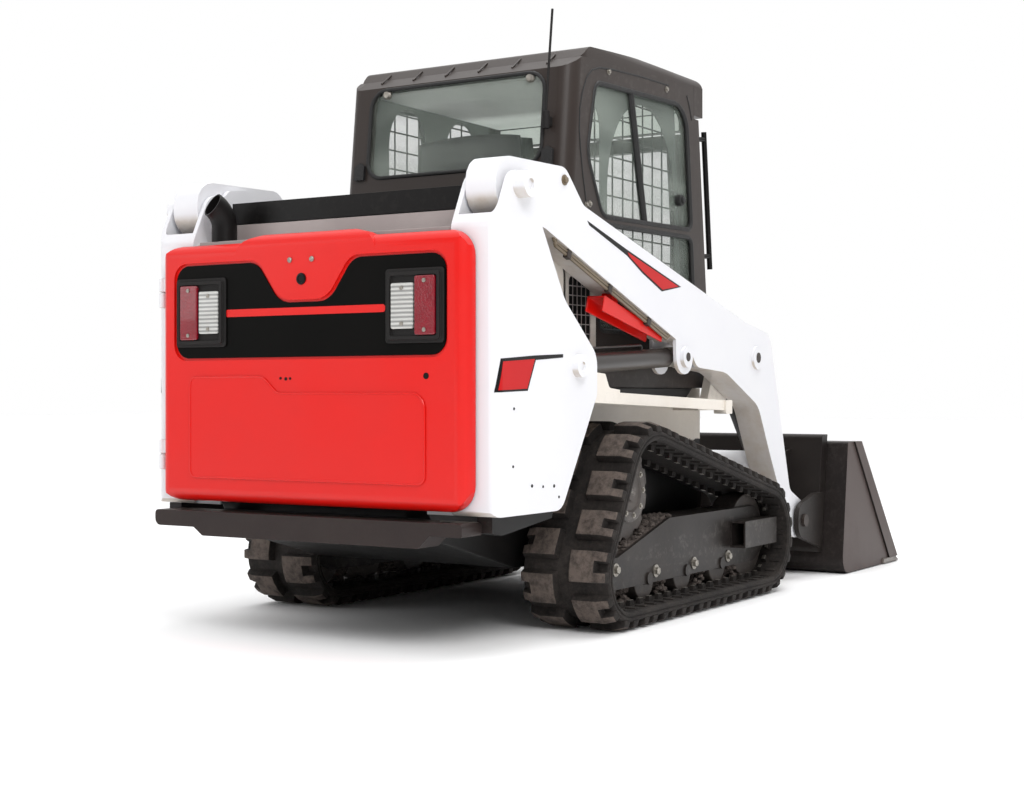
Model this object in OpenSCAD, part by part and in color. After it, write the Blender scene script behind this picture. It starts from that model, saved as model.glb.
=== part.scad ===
// Compact track loader with radius-lift arms, an enclosed cab and a low bucket.
// Millimetres, +X forward, +Y left, +Z up. The origin is on the ground under the middle of the
// overall length. Stations run forward from the back of the bumper, and an outline is a list
// of [station, height, corner radius].

/* [Overall] */
// Width over both tracks
track_span = 1407; // [1380:1:1480]
// Ground clearance under the tub
clearance = 190; // [150:5:230]

/* [Tracks] */
// Width of one rubber track
track_w = 300; // [250:10:320]
// Height of the tread lugs
lug_h = 30; // [20:1:34]
// Thickness of the belt under the lugs
belt_t = 30; // [24:1:34]
// Lugs in each of a track's two rows
lug_count = 26; // [20:1:30]
// Share of the pitch that a lug covers
lug_share = 0.73; // [0.6:0.01:0.8]
// Radius over the lugs at the front idler
front_r = 210; // [195:1:220]
// Radius over the lugs at the drive sprocket
sprocket_r = 222; // [205:1:230]
// Radius over the lugs at the rear idler
rear_r = 180; // [170:1:185]
// Bottom rollers on each side
roller_count = 3; // [2:1:4]

/* [Chassis] */
// Gap between the tub's sides and the tracks
tub_gap = 18.5; // [10:0.5:40]
// Height of the tub's upper edge
tub_top = 745; // [720:5:770]
// Plate thickness of the tub
tub_t = 12; // [8:1:20]
// Outer face of the uprights, from the middle
upright_out = 630; // [620:1:660]
// Plate thickness of the uprights
upright_t = 15; // [10:1:20]
// Height of the lift arm pivot
pivot_z = 1306; // [1290:1:1320]
// Radius of the tie-down holes in the bumper
tie_r = 16; // [12:1:18]

/* [Lift arms] */
// Inner face of the arms, from the middle
arm_in = 500; // [495:1:510]
// Width of one arm's box section
arm_w = 100; // [80:1:100]
// Radius of the arm pivot pins
pivot_pin_r = 26; // [20:1:32]
// Radius of the front cross tube
cross_r = 50; // [35:1:52]
// Radius of the lift cylinder barrels
lift_barrel_r = 32; // [28:1:34]
// Radius of the tilt cylinder barrels
tilt_barrel_r = 28; // [24:1:30]

/* [Tool] */
// Width of the bucket
bucket_w = 1422; // [1360:2:1500]
// Depth of the bucket from its back to the cutting edge, along the floor
bucket_d = 677; // [600:1:760]
// Height of the bucket's back
bucket_h = 530; // [480:5:560]
// Sheet thickness of the bucket
bucket_t = 10; // [8:1:16]

/* [Cab] */
// Half width of the cab
cab_half = 443; // [430:1:448]
// Thickness of the cab's side frames
cab_t = 30; // [24:1:40]
// Height of the roof's upper face at the front
roof_z = 1885; // [1870:1:1920]

/* [Tailgate] */
// Half width of the tailgate
gate_half = 566; // [552:1:570]
// Depth of the tailgate shell
gate_d = 48; // [40:1:50]
// Sheet thickness of the tailgate
gate_t = 6; // [4:1:10]

/* [Hidden] */
$fn = 48;
pin_gap = 0.3;
track_out = track_span / 2;
track_in = track_out - track_w;
track_mid = track_out - track_w / 2;
tub_half = track_in - tub_gap;
arm_out = arm_in + arm_w;
arm_mid = arm_in + arm_w / 2;
upright_in = arm_in - 21;
tilt_y = arm_in - 60;

// Wheel centres, as station and height
rear_wheel = [729, rear_r];
front_wheel = [1822, front_r];
sprocket_wheel = [906, 415];
wheel_t = lug_h + belt_t;
wheel_half = 45;
rail_half = 62;

// Pin centres, as station and height
arm_pin = [194, pivot_z];
lift_base = [520, 806];
lift_eye = [1305, 848];
tilt_base = [1910, 857];
tool_pin = [2320, 230];
tilt_eye = [2326, 400];
cross_at = [2125, 455];
lift_turn = 65;
dump_turn = 107;
curl_turn = 25;

// Tailgate, lid and door hinges
gate_hinge = [58, gate_half + 22];
lid_hinge = [750, 1318];
door_foot = [1851, tub_top];
door_head = [1748, 1725];
function front_at(z) = door_foot[0] - (z - tub_top) * (door_foot[0] - door_head[0]) / (door_head[1] - tub_top);
door_lean = atan2(door_foot[0] - door_head[0], door_head[1] - door_foot[1]);

// Colours
white_paint = [0.94, 0.94, 0.95];
cream_paint = [0.87, 0.84, 0.78];
orange_red = [0.90, 0.24, 0.15];
charcoal = [0.24, 0.21, 0.20];
black_sheet = [0.10, 0.10, 0.10];
rubber = [0.25, 0.22, 0.21];
steel = [0.62, 0.62, 0.62];
bucket_paint = [0.27, 0.24, 0.23];
glass_tint = [0.55, 0.62, 0.60, 0.4];
lens_red = [0.55, 0.05, 0.10];
lens_white = [0.85, 0.85, 0.85];

// Back of the bucket where it sits on the tool carrier, leaning forward as it rises
carrier_s = 2530;
carrier_lean = 0.13;
function bucket_back(z) = carrier_s + carrier_lean * z;
overall_l = carrier_s + bucket_d;
lip_s = overall_l - 197;
lip_t = 20;
lip_z = 4;

function unit(v) = v / norm(v);
function flat(p) = [p[0], p[1]];
function turned(p, a) = [p[0] * cos(a) - p[1] * sin(a), p[0] * sin(a) + p[1] * cos(a)];
function angle_of(v) = atan2(v[1], v[0]);
function wrap(a) = a > 180 ? a - 360 : a < -180 ? a + 360 : a;

// One corner of an outline, as an arc of its own radius
function corner(a, b, c, r, steps = 4) =
    r <= 0 ? [b] :
    let (u = unit(a - b),
         v = unit(c - b),
         half = acos(u * v) / 2,
         centre = b + unit(u + v) * r / sin(half),
         first = angle_of(b + u * r / tan(half) - centre),
         sweep = wrap(angle_of(b + v * r / tan(half) - centre) - first))
    [for (i = [0:steps]) centre + r * [cos(first + sweep * i / steps), sin(first + sweep * i / steps)]];

function rounded(p, steps = 4) =
    [for (i = [0:len(p) - 1])
        each corner(flat(p[(i + len(p) - 1) % len(p)]), flat(p[i]), flat(p[(i + 1) % len(p)]), p[i][2], steps)];

// Point on the tangent loop round the track's wheels
loop_c = [rear_wheel, front_wheel, sprocket_wheel];
loop_r = [rear_r, front_r, sprocket_r];
function tangent_angle(i) =
    let (j = (i + 1) % 3, d = loop_c[j] - loop_c[i])
    angle_of(d) - acos((loop_r[i] - loop_r[j]) / norm(d));
function run_length(i) =
    let (j = (i + 1) % 3, d = loop_c[j] - loop_c[i], k = loop_r[i] - loop_r[j])
    sqrt(d * d - k * k);
function positive(a) = a < 0 ? positive(a + 360) : a;
run_angle = [for (i = [0:2]) tangent_angle(i)];
bend_angle = [for (i = [0:2]) positive(run_angle[i] - run_angle[(i + 2) % 3])];
bend_length = [for (i = [0:2]) (loop_r[i] - lug_h) * bend_angle[i] * PI / 180];
loop_part = [run_length(0), bend_length[1], run_length(1), bend_length[2], run_length(2), bend_length[0]];
loop_start = [for (i = 0, t = 0; i < 6; t = t + loop_part[i], i = i + 1) t];
loop_l = loop_start[5] + loop_part[5];
function on_wheel(i, a, depth) = loop_c[i] + (loop_r[i] - depth) * [cos(a), sin(a)];
function loop_at(t, depth, k = 0) =
    t < 0 ? loop_at(t + loop_l, depth) :
    t >= loop_l ? loop_at(t - loop_l, depth) :
    k < 5 && t >= loop_start[k + 1] ? loop_at(t, depth, k + 1) :
    let (share = (t - loop_start[k]) / loop_part[k],
         i = floor(k / 2),
         j = (i + 1) % 3)
    k % 2 == 0
        ? on_wheel(i, run_angle[i], depth) * (1 - share) + on_wheel(j, run_angle[i], depth) * share
        : on_wheel(j, run_angle[i] + bend_angle[j] * share, depth);

lug_pitch = loop_l / lug_count;
lug_l = lug_pitch * lug_share;
slot_l = lug_l * 0.22;

// Side outline of the belt with its lugs, their tops a depth below the tips; slot is the notch's length
function lug_line(shift, slot, top) =
    [for (i = [0:lug_count - 1])
        let (t = (i + shift) * lug_pitch)
        each concat(
            [loop_at(t - lug_l / 2, lug_h), loop_at(t - lug_l / 2, top)],
            slot > 0 ? [loop_at(t - slot / 2, top), loop_at(t - slot / 2, lug_h * 0.85),
                        loop_at(t + slot / 2, lug_h * 0.85), loop_at(t + slot / 2, top)] : [],
            [loop_at(t + lug_l / 2, top), loop_at(t + lug_l / 2, lug_h)])];
function belt_line() =
    [for (i = [0:2 * lug_count - 1]) loop_at((i + 0.5) * lug_pitch / 2, lug_h)];
function inner_line() =
    [for (i = [0:2]) let (j = (i + 1) % 3, steps = ceil(bend_angle[j] / 12))
        each [for (n = [0:steps]) on_wheel(j, run_angle[i] + bend_angle[j] * n / steps, wheel_t)]];

// Solid of a side outline between two distances from the middle
module slab(points, y0, y1) {
    translate([-overall_l / 2, y1, 0])
        rotate([90, 0, 0])
            linear_extrude(y1 - y0)
                polygon(points);
}

// Round bar across the machine
module bar(at, r, y0, y1) {
    translate([at[0] - overall_l / 2, y1, at[1]])
        rotate([90, 0, 0])
            cylinder(h = y1 - y0, r = r);
}

// Box by its stations, widths and heights
module block(s0, s1, y0, y1, z0, z1) {
    translate([s0 - overall_l / 2, y0, z0])
        cube([s1 - s0, y1 - y0, z1 - z0]);
}

// Solid of a rear view's outline, as widths and heights, between two stations
module rear_form(points, s0, s1) {
    translate([s0 - overall_l / 2, 0, 0])
        rotate([90, 0, 90])
            linear_extrude(s1 - s0)
                polygon(points);
}

// Solid of an outline seen from above, as stations and widths, between two heights
module plan_form(points, z0, z1) {
    translate([-overall_l / 2, 0, z0])
        linear_extrude(z1 - z0)
            polygon(points);
}

module right_side() {
    mirror([0, 1, 0])
        children();
}

module both_sides() {
    children();
    right_side()
        children();
}

function box_line(s0, s1, z0, z1, r = 0) = rounded([[s0, z0, r], [s1, z0, r], [s1, z1, r], [s0, z1, r]]);

// Tub between the tracks: bent side plates, floor that rises to the back, front wall and an open rear
// for the engine
tub_back = 112;
tub_lip = 312;
tub_belly = 570;
function tub_floor(s) =
    tub_lip + tub_t + pin_gap + (clearance - tub_lip) * (s - tub_back - tub_t) / (tub_belly + 2 - tub_back - tub_t);

module main_frame() {
    color(cream_paint) {
        difference() {
            slab(rounded([[95, 400, 10], [tub_back, 372, 6], [tub_back, tub_lip, 10], [tub_belly, clearance, 60],
                          [1780, clearance, 30], [1885, 330, 20],
                          [1885, tub_top, 0], [95, tub_top, 0]]), -tub_half, tub_half);
            slab(rounded([[95 + tub_t, 404, 0], [tub_back + tub_t, 374, 0], [tub_back + tub_t, tub_lip + tub_t, 0],
                          [tub_belly + 2, clearance + tub_t, 50], [1774, clearance + tub_t, 20],
                          [1885 - tub_t, 334, 10], [1885 - tub_t, tub_top + 1, 0],
                          [95 + tub_t, tub_top + 1, 0]]), -tub_half + tub_t, tub_half - tub_t);
            block(90, 110, -tub_half + 45, tub_half - 45, 430, tub_top + 1);
        }
        both_sides() {
            difference() {
                slab(rounded([[95, tub_top - tub_t, 0], [700, tub_top - tub_t, 0], [700, 1100, 40],
                              [660, 1185, 20], [95, 1185, 0]]), upright_in - tub_t, upright_in);
                slab(box_line(425, 650, 850, 1100, 20), upright_in - tub_t - 1, upright_in + 1);
            }
            block(95, 760, tub_half, upright_in, tub_top - tub_t, tub_top);
        }
    }
}

// Running-gear shelf above one track, seated under the edge of the tub's side shelf, with a gusset behind
// the upright and a post at its front end
fender_line = [[640, tub_top - tub_t - 36], [1645, tub_top - tub_t - 69], [1645, tub_top - tub_t - 33],
               [640, tub_top - tub_t]];
fender_t = 8;
post_z = tub_top - 46;

module fender_shape() {
    fender_out = upright_out - upright_t - 3;
    color(cream_paint) {
        difference() {
            slab(fender_line, tub_half, fender_out);
            translate([0, 0, -fender_t])
                slab([fender_line[0] - [10, 0], fender_line[1] + [10, 0], fender_line[2] + [10, 0], fender_line[3] - [10, 0]],
                     tub_half + fender_t, fender_out - fender_t);
        }
        slab(rounded([[650, tub_top - tub_t - 30, 0], [820, tub_top - tub_t - 30, 0], [820, tub_top - 9, 0],
                      [750, tub_top - 3, 20], [725, tub_top + 40, 10], [650, tub_top + 45, 0]]),
             fender_out - 10, fender_out);
        block(1640, 1885, tub_half, arm_in - 8, post_z - 35, post_z);
        slab(rounded([[1715, post_z - 5, 0], [1883, post_z - 5, 0], [1878, post_z + 36, 20], [1810, post_z + 92, 10],
                      [1760, post_z + 92, 10]]), arm_in - 40, arm_in - 8);
        slab(rounded([[1600, tub_top - tub_t - 80, 6], [1652, tub_top - tub_t - 80, 6], [1652, tub_top - tub_t - 31, 6],
                      [1600, tub_top - tub_t - 33, 0]]), fender_out - 40, fender_out + 8);
    }
}

// Black side tray between the cab and the shelf
shelf_drop = (fender_line[2][1] - fender_line[3][1]) / (fender_line[2][0] - fender_line[3][0]);
function above_shelf(s) = fender_line[3][1] + shelf_drop * (s - fender_line[3][0]) + pin_gap;

module side_trays() {
    color(black_sheet)
        both_sides()
            slab([[1024, tub_top], [1040, above_shelf(1040)], [1635, above_shelf(1635)], [1700, tub_top]],
                 tub_half, cab_half);
}

module fender_left() {
    fender_shape();
}

module fender_right() {
    right_side()
        fender_shape();
}

// Upright: a bent channel with two cheeks, open to the front for the arm, and ears round the pivot pin
upright_line = [[75, 385, 20], [428, 385, 60], [640, 720, 40], [640, 840, 70], [446, 997, 120],
                [309, 1212, 60], [286, pivot_z + 40, 48], [150, pivot_z + 40, 60], [75, 1190, 50]];

module upright_shape() {
    color(white_paint) {
        intersection() {
            slab(rounded(upright_line), upright_in, upright_out);
            difference() {
                plan_form(rounded([[75, upright_in, 0], [660, upright_in, 0], [660, upright_out, 0], [75, upright_out, 30]]),
                          380, 1400);
                plan_form(rounded([[75 + upright_t, upright_in + upright_t, 0], [661, upright_in + upright_t, 0],
                                   [661, upright_out - upright_t, 0], [75 + upright_t, upright_out - upright_t, 15]]),
                          379, 1401);
            }
        }
        slab(rounded([[87, 1150, 0], [87, 1212, 30], [240, 1366, 25], [330, 1380, 30], [372, 1290, 60], [372, 1150, 0]]),
             upright_in, upright_in + upright_t);
        block(75, 75 + upright_t, tub_half, upright_in + 2, 405, 1140);
        block(80 + upright_t, 405, tub_half, upright_out - 2, 385, 397);
        difference() {
            union() {
                bar(arm_pin, pivot_pin_r, upright_in, upright_out + 38);
                bar(arm_pin, pivot_pin_r + 12, upright_out - 1, upright_out + 38);
            }
            bar(arm_pin, 15, upright_out + 30, upright_out + 39);
        }
        difference() {
            union() {
                bar(lift_base, 22, upright_in, upright_out + 20);
                bar(lift_base, 34, upright_out - 1, upright_out + 20);
            }
            bar(lift_base, 12, upright_out + 14, upright_out + 21);
        }
    }
}

module upright_left() {
    upright_shape();
}

module upright_right() {
    right_side()
        upright_shape();
}

// Engine and pump as one plain block on two cross beams
module engine() {
    color(charcoal) {
        block(230, 650, -tub_half + 95, tub_half - 95, 330, 1080);
        block(260, 620, -tub_half + tub_t, tub_half - tub_t, 290, 330);
        for (s = [330, 490])
            slab([[s, tub_floor(s)], [s + 50, tub_floor(s + 50)], [s + 50, 291], [s, 291]], -tub_half + 185, tub_half - 185);
    }
}

// Radiator frame's cover behind the cab, open under the lid
module rear_cover() {
    color(white_paint)
        difference() {
            block(92, 758, -upright_in + tub_t, upright_in - tub_t, 1150, 1250);
            block(80, 200, -upright_in, upright_in, 1190, 1260);
            block(104, 220, -415, 415, 1140, 1178);
            block(215, 745, -415, 415, 1140, 1260);
        }
    color(charcoal)
        both_sides() {
            block(lid_hinge[0] - 8, 758, 250, 288, 1250, lid_hinge[1]);
            bar(lid_hinge, 12, 250, 288);
            bar(lid_hinge, 6, 250, 332);
        }
}

// Louvred lid over the radiator
module rear_grille() {
    color(black_sheet) {
        difference() {
            block(200, 735, -430, 430, 1252, 1318);
            block(215, 720, -415, 415, 1240, 1300);
            for (i = [0:9])
                block(240 + 47 * i, 270 + 47 * i, -390, 390, 1290, 1330);
        }
        both_sides()
            difference() {
                union() {
                    block(730, lid_hinge[0], 292, 330, lid_hinge[1] - 12, lid_hinge[1]);
                    bar(lid_hinge, 12, 292, 330);
                }
                bar(lid_hinge, 6 + pin_gap, 291, 331);
            }
    }
}

// Bumper bar with its lower guard and tie-down holes, on two brackets at the tub's sloping back
module rear_bumper() {
    color(charcoal) {
        difference() {
            rear_form(rounded([[-565, 333, 6], [-458, 333, 8], [-420, 297, 10], [372, 297, 10], [408, 322, 8],
                               [565, 322, 20], [565, 370, 12], [-565, 370, 12]]), 0, 100);
            both_sides()
                translate([45 - overall_l / 2, 480, 280])
                    cylinder(h = 100, r = tie_r);
        }
        both_sides() {
            block(99, tub_back, tub_half - 95, tub_half - 35, tub_lip + 6, 364);
            slab([[99, 340], [150, 330], [420, 362], [430, 384], [99, 384]], upright_out - 80, upright_out - 30);
        }
    }
}

// Exhaust elbow with an open end
module elbow(r, sweep, below) {
    translate([0, 0, -below])
        cylinder(h = 45 + below, r = r);
    translate([80, 0, 45])
        rotate([90, 0, 180])
            rotate_extrude(angle = sweep)
                translate([80, 0])
                    circle(r = r);
}

module exhaust_pipe() {
    color(black_sheet)
        translate([130 - overall_l / 2, 400, 1190])
            rotate([0, 0, 158])
                difference() {
                    elbow(39, 60, 0);
                    elbow(35, 66, 5);
                }
}

// Black mesh in the engine bay's sides
module side_screens() {
    color(black_sheet)
        both_sides()
            difference() {
                slab(box_line(425, 650, 850, 1100, 20), upright_in - 9, upright_in - 4);
                for (i = [0:6], j = [0:7])
                    block(437 + 30 * i, 461 + 30 * i, upright_in - 10, upright_in, 862 + 29 * j, 885 + 29 * j);
            }
}

// Track frame: outer and inner cheeks, top box, tensioner box and ties to the tub
rail_line = [[690, 150, 30], [780, 115, 30], [1845, 115, 30], [1930, 155, 30], [1948, 240, 30],
             [1860, 315, 30], [1160, 315, 40], [800, 215, 30], [690, 215, 25]];

module track_frame_shape() {
    color(charcoal) {
        slab(rounded(rail_line), track_mid + rail_half - 12, track_mid + rail_half);
        slab(rounded(rail_line), track_mid - rail_half, track_mid - rail_half + 12);
        block(1165, 1640, track_mid - rail_half, track_mid + rail_half, 225, 315);
        difference() {
            block(1645, 1928, track_mid + rail_half - 1, track_mid + rail_half + 58, 178, 272);
            block(1640, 1905, track_mid + rail_half + 5, track_mid + rail_half + 52, 185, 265);
        }
        bar([1180, 265], 42, tub_half, track_mid - rail_half);
        bar([1600, 265], 42, tub_half, track_mid - rail_half);
        for (i = [0:roller_count - 1])
            bar([1010 + 560 * i / (roller_count - 1), wheel_t + 70], 20, track_mid - rail_half, track_mid + rail_half + 6);
        bar(rear_wheel, 24, track_mid - rail_half, track_mid + rail_half + 8);
        bar(front_wheel, 24, track_mid - rail_half, track_mid + rail_half + 8);
    }
}

module track_frame_left() {
    track_frame_shape();
}

module track_frame_right() {
    right_side()
        track_frame_shape();
}

// Drive sprockets with their final-drive hubs
module sprockets() {
    color(steel)
        both_sides() {
            difference() {
                bar(sprocket_wheel, sprocket_r - wheel_t - 1, track_mid - 25, track_mid + 25);
                for (i = [0:11])
                    bar(sprocket_wheel + (sprocket_r - wheel_t + 4) * [cos(30 * i), sin(30 * i)], 18,
                        track_mid - 30, track_mid + 30);
            }
            bar(sprocket_wheel, 100, tub_half, track_mid - 20);
            bar(sprocket_wheel, 70, track_mid, track_mid + 45);
        }
}

// Idlers and bottom rollers, each on its own axle
module wheel(at, r) {
    difference() {
        bar(at, r, track_mid - wheel_half, track_mid + wheel_half);
        bar(at, 24, track_mid - wheel_half - 1, track_mid + wheel_half + 1);
    }
}

module idlers() {
    color(charcoal)
        both_sides() {
            wheel(rear_wheel, rear_r - wheel_t - 1);
            wheel(front_wheel, front_r - wheel_t - 1);
        }
}

module rollers() {
    color(charcoal)
        both_sides()
            for (i = [0:roller_count - 1])
                difference() {
                    bar([1010 + 560 * i / (roller_count - 1), wheel_t + 70], 70, track_mid - wheel_half, track_mid + wheel_half);
                    bar([1010 + 560 * i / (roller_count - 1), wheel_t + 70], 20, track_mid - 60, track_mid + 60);
                }
}

// Rubber track: five bands side by side, two of them with notched lug ends
module belt_band(outline, y0, y1) {
    difference() {
        slab(outline, y0, y1);
        slab(inner_line(), y0 - 1, y1 + 1);
    }
}

module track_shape() {
    lug_w = track_w * 0.42;
    notch_w = track_w * 0.12;
    color(rubber) {
        belt_band(lug_line(0, slot_l, lug_h * 0.4), track_out - notch_w, track_out);
        belt_band(lug_line(0, 0, 0), track_out - lug_w, track_out - notch_w);
        belt_band(belt_line(), track_in + lug_w, track_out - lug_w);
        belt_band(lug_line(0.5, 0, 0), track_in + notch_w, track_in + lug_w);
        belt_band(lug_line(0.5, slot_l, lug_h * 0.4), track_in, track_in + notch_w);
    }
}

module track_left() {
    track_shape();
}

module track_right() {
    right_side()
        track_shape();
}

// Cab: side frames with window openings. The back leans forward a little and slopes off under the roof
back_foot = [783, 1450];
back_head = [817, 1768];
roof_rear = [925, roof_z - 39];
roof_t = 40;
back_lean = atan2(back_head[0] - back_foot[0], back_head[1] - back_foot[1]);
cab_top = [880, roof_rear[1] - roof_t];
cab_line = [[760, tub_top, 0], [door_foot[0] - 40, tub_top, 0], [door_head[0] - 40, door_head[1], 0],
            [door_head[0] - 40, roof_z - roof_t, 0], [cab_top[0], cab_top[1], 0], [back_head[0], back_head[1], 40],
            [back_foot[0], back_foot[1], 60], [760, 1220, 60]];
side_window = [[1015, 1305, 60], [1692, 1318, 30], [1648, 1762, 100], [968, 1738, 45], [912, 1500, 120]];
lower_window = [[985, 930, 40], [1722, 930, 40], [1690, 1290, 30], [1005, 1280, 30]];
post_r = 55;

// What is rounded off the two rear corner posts
module post_corners() {
    both_sides()
        translate([back_foot[0] - overall_l / 2, cab_half, back_foot[1]])
            rotate([0, back_lean, 0])
                translate([0, 0, -160])
                    difference() {
                        translate([-60, -post_r, 0])
                            cube([post_r + 60, post_r + 5, 520]);
                        translate([post_r, -post_r, -1])
                            cylinder(h = 522, r = post_r);
                    }
}

module cab_side_shape() {
    color(charcoal)
        difference() {
            slab(rounded(cab_line), cab_half - cab_t, cab_half);
            slab(rounded(side_window, 8), cab_half - cab_t - 1, cab_half + 1);
            slab(rounded(lower_window), cab_half - cab_t - 1, cab_half + 1);
            post_corners();
        }
}

module cab_left() {
    cab_side_shape();
}

module cab_right() {
    right_side()
        cab_side_shape();
}

// Panel along a leaning line of the cab's rear or front, as deep as its second outline is set back
module lean_panel(foot, head, depth, half) {
    slab([foot, head, [head[0] + depth, head[1]], [foot[0] + depth, foot[1]]], -half, half);
}

// Rear wall of the cab with the window opening
module rear_opening() {
    rear_form(rounded([[-345, 1455, 45], [345, 1455, 45], [345, 1758, 45], [-345, 1758, 45]], 6), 750, 900);
}

module cab_rear() {
    half = cab_half - cab_t;
    color(charcoal)
        difference() {
            union() {
                lean_panel(back_head, cab_top, 40, half);
                lean_panel(back_foot, back_head, 34, half);
                lean_panel([762, 1220], back_foot, 34, half);
                lean_panel([762, tub_top + 12], [762, 1220], 34, half);
            }
            rear_opening();
            post_corners();
        }
}

// Roof: a pressed cap with rounded edges, rising to the front, and a visor over the door
module cab_roof() {
    color(charcoal) {
        intersection() {
            slab(rounded([[cab_top[0], cab_top[1], 0], [door_head[0] - 40, roof_z - roof_t, 0], [1782, roof_z - roof_t, 0],
                          [1782, roof_z - 6, 25], [1300, roof_z - 12, 200], [roof_rear[0], roof_rear[1], 45]]),
                 -cab_half, cab_half);
            rear_form(rounded([[-cab_half, 1700, 0], [cab_half, 1700, 0], [cab_half, roof_z - 4, 45],
                               [-cab_half, roof_z - 4, 45]], 6), 800, 1800);
            plan_form(rounded([[840, -cab_half, 75], [1790, -cab_half, 0], [1790, cab_half, 0], [840, cab_half, 75]], 6),
                      1700, 1950);
        }
        difference() {
            block(1709, 1782, -cab_half, cab_half, 1737, roof_z - roof_t + 1);
            slab([[1740, 1700], [1840, 1700], [1840, 1790]], -cab_half + 25, cab_half - 25);
        }
    }
}

// Door opening's half width, and the knuckles on its left edge
door_open = 388;
knuckle_r = 11;
door_pin_r = 5;
door_half = door_open - knuckle_r - 3;

// Place along the door's leaning hinge line
module on_door_hinge(z) {
    translate([door_foot[0] + 12 - overall_l / 2, door_open, tub_top])
        rotate([0, -door_lean, 0])
            translate([0, 0, z])
                children();
}

// Front frame round the door opening, with the fixed halves of the hinges and their pins
module cab_front() {
    color(charcoal) {
        for (z = [180, 760])
            on_door_hinge(z) {
                cylinder(h = 40, r = knuckle_r);
                cylinder(h = 82, r = door_pin_r);
                translate([-12.5, 0, 0])
                    cube([12.5, 26, 40]);
            }
        difference() {
            slab([[door_foot[0] - 40, tub_top], door_foot, [door_head[0], door_head[1]],
                  [door_head[0] - 40, door_head[1]]], -cab_half, cab_half);
            slab([[door_foot[0] - 60, tub_top + 30], [door_foot[0] + 60, tub_top + 30],
                  [door_head[0] + 60, door_head[1] - 40], [door_head[0] - 60, door_head[1] - 40]], -door_open, door_open);
        }
    }
}

// Floor of the cab
module cab_floor() {
    color(charcoal)
        block(762, door_foot[0] - 42, -cab_half + cab_t, cab_half - cab_t, tub_top, tub_top + 12);
}

// Panes set in the frames
module cab_windows() {
    color(glass_tint) {
        both_sides() {
            slab(rounded(side_window, 8), cab_half - 20, cab_half - 14);
            slab(rounded(lower_window), cab_half - 20, cab_half - 14);
        }
        intersection() {
            lean_panel(back_foot + [10, 0], back_head + [10, 0], 6, 380);
            rear_opening();
        }
    }
}

// Seat with its box and cushions
module seat() {
    color(black_sheet) {
        slab(box_line(930, 1330, tub_top + 12, 1000, 20), -230, 230);
        slab(rounded([[900, 1000, 30], [1390, 1000, 40], [1390, 1090, 45], [900, 1090, 30]]), -235, 235);
        slab(rounded([[905, 1085, 20], [1010, 1085, 20], [960, 1600, 45], [870, 1600, 40]]), -220, 220);
    }
}

// Armrest consoles with joysticks
module controls() {
    color(charcoal)
        both_sides() {
            slab(rounded([[1080, tub_top + 12, 0], [1480, tub_top + 12, 0], [1480, 1100, 60], [1080, 1190, 40]]), 270, 390);
            translate([1420 - overall_l / 2, 330, 1090])
                cylinder(h = 150, r = 14);
            translate([1420 - overall_l / 2, 330, 1230])
                sphere(r = 26);
        }
}

// Grab bars beside the door
module grab_bars() {
    bar_out = 95;
    color(black_sheet)
        both_sides() {
            translate([front_at(1190) + bar_out - overall_l / 2, 418, 1190])
                rotate([0, -door_lean, 0])
                    cylinder(h = 510, r = 10);
            for (z = [1230, 1660])
                translate([front_at(z) + pin_gap - overall_l / 2, 418, z])
                    rotate([0, 90 - door_lean, 0])
                        cylinder(h = bar_out, r = 9);
        }
}

// Radio aerial on the rear corner post
module antenna() {
    color(black_sheet)
        translate([back_foot[0] - 12 - overall_l / 2, -372, 1565]) {
            cylinder(h = 55, r = 12);
            translate([0, -10, 10])
                cube([25.3, 20, 28]);
            translate([0, 0, 50])
                rotate([0, 7, 0])
                    cylinder(h = 340, r = 4);
        }
}

// Work lamps under the visor
module work_lamps() {
    color(lens_white)
        both_sides()
            block(1782, 1798, 320, 415, 1795, 1838);
}

// Front door frame
module cab_door() {
    color(charcoal) {
        for (z = [180, 760])
            on_door_hinge(z + 41)
                difference() {
                    union() {
                        cylinder(h = 40, r = knuckle_r);
                        translate([-5, -24, 0])
                            cube([12, 24, 40]);
                    }
                    translate([0, 0, -1])
                        cylinder(h = 42, r = door_pin_r + pin_gap);
                }
        difference() {
            union() {
                slab([[door_foot[0] - 27, tub_top + 38], [door_foot[0] + 8, tub_top + 38],
                      [door_head[0] + 13, door_head[1] - 48], [door_head[0] - 22, door_head[1] - 48]], -door_half, door_half);
            }
            slab([[door_foot[0] - 60, tub_top + 100], [door_foot[0] + 60, tub_top + 100],
                  [door_head[0] + 60, door_head[1] - 100], [door_head[0] - 60, door_head[1] - 100]], -320, 320);
        }
    }
}

module door_glass() {
    color(glass_tint)
        intersection() {
            slab([[door_foot[0] - 13, tub_top + 38], [door_foot[0] - 5, tub_top + 38],
                  [door_head[0] + 0, door_head[1] - 48], [door_head[0] - 8, door_head[1] - 48]], -320, 320);
            slab([[door_foot[0] - 160, tub_top + 100], [door_foot[0] + 60, tub_top + 100],
                  [door_head[0] + 60, door_head[1] - 100], [door_head[0] - 160, door_head[1] - 100]], -330, 330);
        }
}

// Tailgate: a pressed shell, rounded on every edge and open to the engine, with a hump over its lock,
// a recess for the band and a raised lower panel
gate_s = 20;
gate_z0 = 397;
gate_z1 = 1176;
gate_r = 42;
band_in = 8;
hump_h = 20;

function gate_side(inset, top) =
    rounded([[gate_s + inset, gate_z0 + inset, gate_r - inset], [gate_s + gate_d + min(inset, 1), gate_z0 + inset, 0],
             [gate_s + gate_d + min(inset, 1), top - inset, 0], [gate_s + inset, top - inset, gate_r - inset]], 8);

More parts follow.
